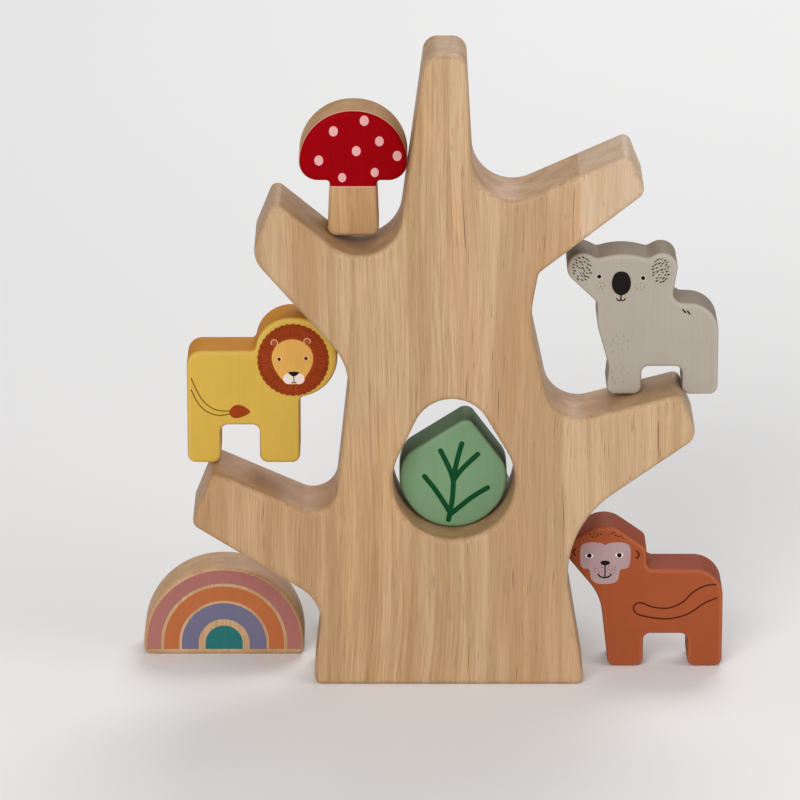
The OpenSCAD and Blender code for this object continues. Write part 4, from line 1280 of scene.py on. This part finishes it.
# %% Monkey face
MONKEY_EYES = [(-6.9, 41.05), (3.45, 41.2)]
face_patch = ink_patch(
    [
        (-1.5, 44.9), (-2.9, 45.6), (-6.7, 45.9), (-9.4, 45.0), (-10.1, 43.0), (-10.0, 38.4), (-9.1, 36.5),
        (-7.2, 36.1), (-6.6, 35.0), (-6.2, 32.6), (-4.6, 31.0), (-1.5, 30.6), (1.6, 31.0), (3.2, 32.4),
        (3.6, 35.0), (4.4, 36.0), (6.3, 36.5), (7.2, 38.4), (7.35, 43.0), (6.6, 45.0), (3.9, 45.9),
        (0.0, 45.6),
    ]
)
ink_of("monkey", "face_patch", ink_finish("monkey_face_ink", (175, 148, 149), 0.2), [face_patch])
eye_whites = [ink_oval(x, z, 1.42, 0.96) for x, z in MONKEY_EYES]
ink_of("monkey", "eye_whites", INKS["white"], eye_whites, layer=2)
monkey_black = [ink_oval(x, z, 0.82, 0.86) for x, z in MONKEY_EYES]
monkey_black += [
    ink_oval(-1.4, 38.35, 1.64, 0.84, 0.06),
    ink_line([(-1.4, 38.0), (-1.42, 36.0), (-1.45, 33.3)], 0.42),
    ink_line([(-3.8, 34.1), (-2.9, 33.25), (-1.5, 33.0), (-0.2, 33.25), (0.7, 34.1)], 0.48),
]
ink_of("monkey", "eyes_and_smile", INKS["black"], monkey_black, layer=3)

# %% Monkey ears, tail and freckles
tail_path = [
    (37.0, 30.4), (33.4, 29.9), (29.3, 27.6), (25.5, 23.8), (20.7, 21.7), (15.2, 22.1), (11.6, 23.6),
    (9.6, 23.4), (8.6, 21.7), (9.4, 19.9),
    (11.7, 18.9), (16.9, 17.9), (22.1, 17.9), (28.0, 19.8), (33.0, 23.4), (37.4, 25.4),
]
monkey_lines = [
    ink_line(tail_path, 0.54),
    ink_line([(-11.7, 43.6), (-12.25, 43.05), (-12.45, 42.4), (-12.25, 41.75), (-11.75, 41.2)], 0.5),
    ink_line([(9.5, 42.6), (10.05, 42.05), (10.25, 41.35), (10.05, 40.65), (9.5, 40.1)], 0.6),
]
ink_of("monkey", "tail_and_ears", INKS["umber"], monkey_lines)
brow = [
    (-6.7, 48.9), (-5.3, 49.2), (-4.1, 48.6), (-3.0, 48.8), (-5.9, 47.9), (-4.6, 47.7),
    (0.6, 49.1), (1.5, 49.5), (2.1, 48.4), (3.0, 48.0), (4.0, 48.2), (4.8, 47.6),
]
placed_ink("monkey", "brow_dots", INKS["umber"], brow, speck, seed=3, sizes=(1.0, 1.6))
cheek_speck = stamp("cheek_speck", ink_oval(0, 0, 0.14, 0.14, count=10), layer=2)
cheeks = [ink_oval(-3.75, 36.1, 1.6, 1.75), ink_oval(0.95, 36.1, 1.6, 1.75)]
scattered_ink("monkey", "cheek_freckles", INKS["umber"], cheeks, cheek_speck, gap=0.64, seed=8)

# %% [markdown]
# ## Hedgehog, donkey and crocodile
#
# These three stand behind the tree. They are finished like the others: a plain animal face, and marks that
# the node trees repeat, such as spines and scales.

# %% Hedgehog
hedgehog_face = ink_patch(
    [
        (1.6, 8.6), (4.4, 5.0), (9.0, 3.2), (14.0, 4.0), (16.6, 8.4), (16.0, 13.6), (12.6, 17.4), (8.6, 16.4),
        (4.8, 12.4),
    ]
)
ink_of("hedgehog", "pale_face", ink_finish("hedgehog_face_ink", (214, 188, 156), 0.2), [hedgehog_face])
hedgehog_black = [
    ink_oval(9.6, 12.6, 0.85, 0.95),
    ink_oval(3.0, 8.8, 1.15, 1.0),
    ink_line([(5.2, 6.8), (7.0, 6.0), (9.0, 6.6)], 0.36),
]
ink_of("hedgehog", "eye_and_nose", INKS["black"], hedgehog_black, layer=2)
coat = ink_patch(
    [
        (18.6, 5.4), (18.2, 14.0), (15.2, 20.6), (20.0, 26.4), (28.0, 28.4), (36.0, 25.4), (40.6, 18.0),
        (40.4, 9.0), (35.0, 4.6),
    ]
)
spine = stamp("spine", ink_line([(0, -1.1), (0, 0), (0, 1.1)], 0.5, 0.3))
spine_ink = ink_finish("hedgehog_spine_ink", (72, 48, 34), 0.3)
scattered_ink("hedgehog", "spines", spine_ink, [coat], spine, gap=2.3, seed=2, slant=0.9, jitter=0.3)

# %% Donkey
pale_muzzle = ink_patch([(-6.8, 27.0), (-6.0, 23.6), (-2.6, 23.4), (-0.6, 26.4), (-1.6, 30.6), (-4.8, 31.4)])
ink_of("donkey", "pale_muzzle", ink_finish("donkey_muzzle_ink", (226, 220, 210), 0.15), [pale_muzzle])
donkey_black = [
    ink_oval(1.6, 35.6, 0.8, 0.95),
    ink_oval(-4.9, 28.3, 0.55, 0.75),
    ink_line([(-5.4, 25.4), (-3.6, 24.9), (-1.8, 26.0)], 0.34),
]
ink_of("donkey", "eye_and_mouth", INKS["black"], donkey_black, layer=2)
nape = [(11.2, 41.0), (12.2, 39.2), (12.9, 37.3), (13.4, 35.3), (14.1, 33.3), (15.2, 31.5)]
donkey_hair = stamp("donkey_hair", ink_line([(0, -1.0), (0, 0), (0, 1.0)], 0.45, 0.5))
donkey_dark = ink_finish("donkey_hair_ink", (70, 78, 88), 0.3)
placed_ink("donkey", "mane_hairs", donkey_dark, nape, donkey_hair, seed=4, slant=0.9, jitter=0.2)

# %% Crocodile
crocodile_black = [
    ink_oval(20.0, 20.4, 0.8, 0.9),
    ink_oval(3.2, 11.4, 0.5, 0.4),
    ink_line([(1.6, 7.6), (6.0, 7.0), (11.0, 7.8), (16.0, 9.4), (20.0, 11.6)], 0.4),
]
ink_of("crocodile", "eye_and_mouth", INKS["black"], crocodile_black, layer=2)
tooth_places = [(3.4, 6.4), (6.0, 6.2), (8.6, 6.5), (11.2, 7.1), (13.8, 7.9)]
tooth_mark = stamp("tooth", np.array([(-0.65, 0.8), (0.0, -0.7), (0.65, 0.8)]))
placed_ink("crocodile", "teeth", INKS["white"], tooth_places, tooth_mark, seed=5)
ink_of("crocodile", "eye_white", INKS["white"], [ink_oval(20.0, 20.4, 1.6, 1.7)])
back_patch = ink_patch(
    [
        (24.0, 9.0), (25.0, 15.0), (32.0, 16.0), (44.0, 15.0), (54.0, 12.0), (58.0, 9.6), (50.0, 8.0),
        (36.0, 7.6),
    ]
)
scale_mark = stamp("scale", ink_line([(-0.9, 0.5), (0.0, -0.4), (0.9, 0.5)], 0.4))
scale_ink = ink_finish("crocodile_scale_ink", (48, 86, 50), 0.25)
scattered_ink("crocodile", "scales", scale_ink, [back_patch], scale_mark, gap=2.7, seed=6, jitter=0.15)

# %% [markdown]
# ## Clearing the stamps
#
# The stamps that the node trees copied are no longer needed.

# %% Clear the stamps
for used_stamp in stamps:
    bpy.data.objects.remove(used_stamp)
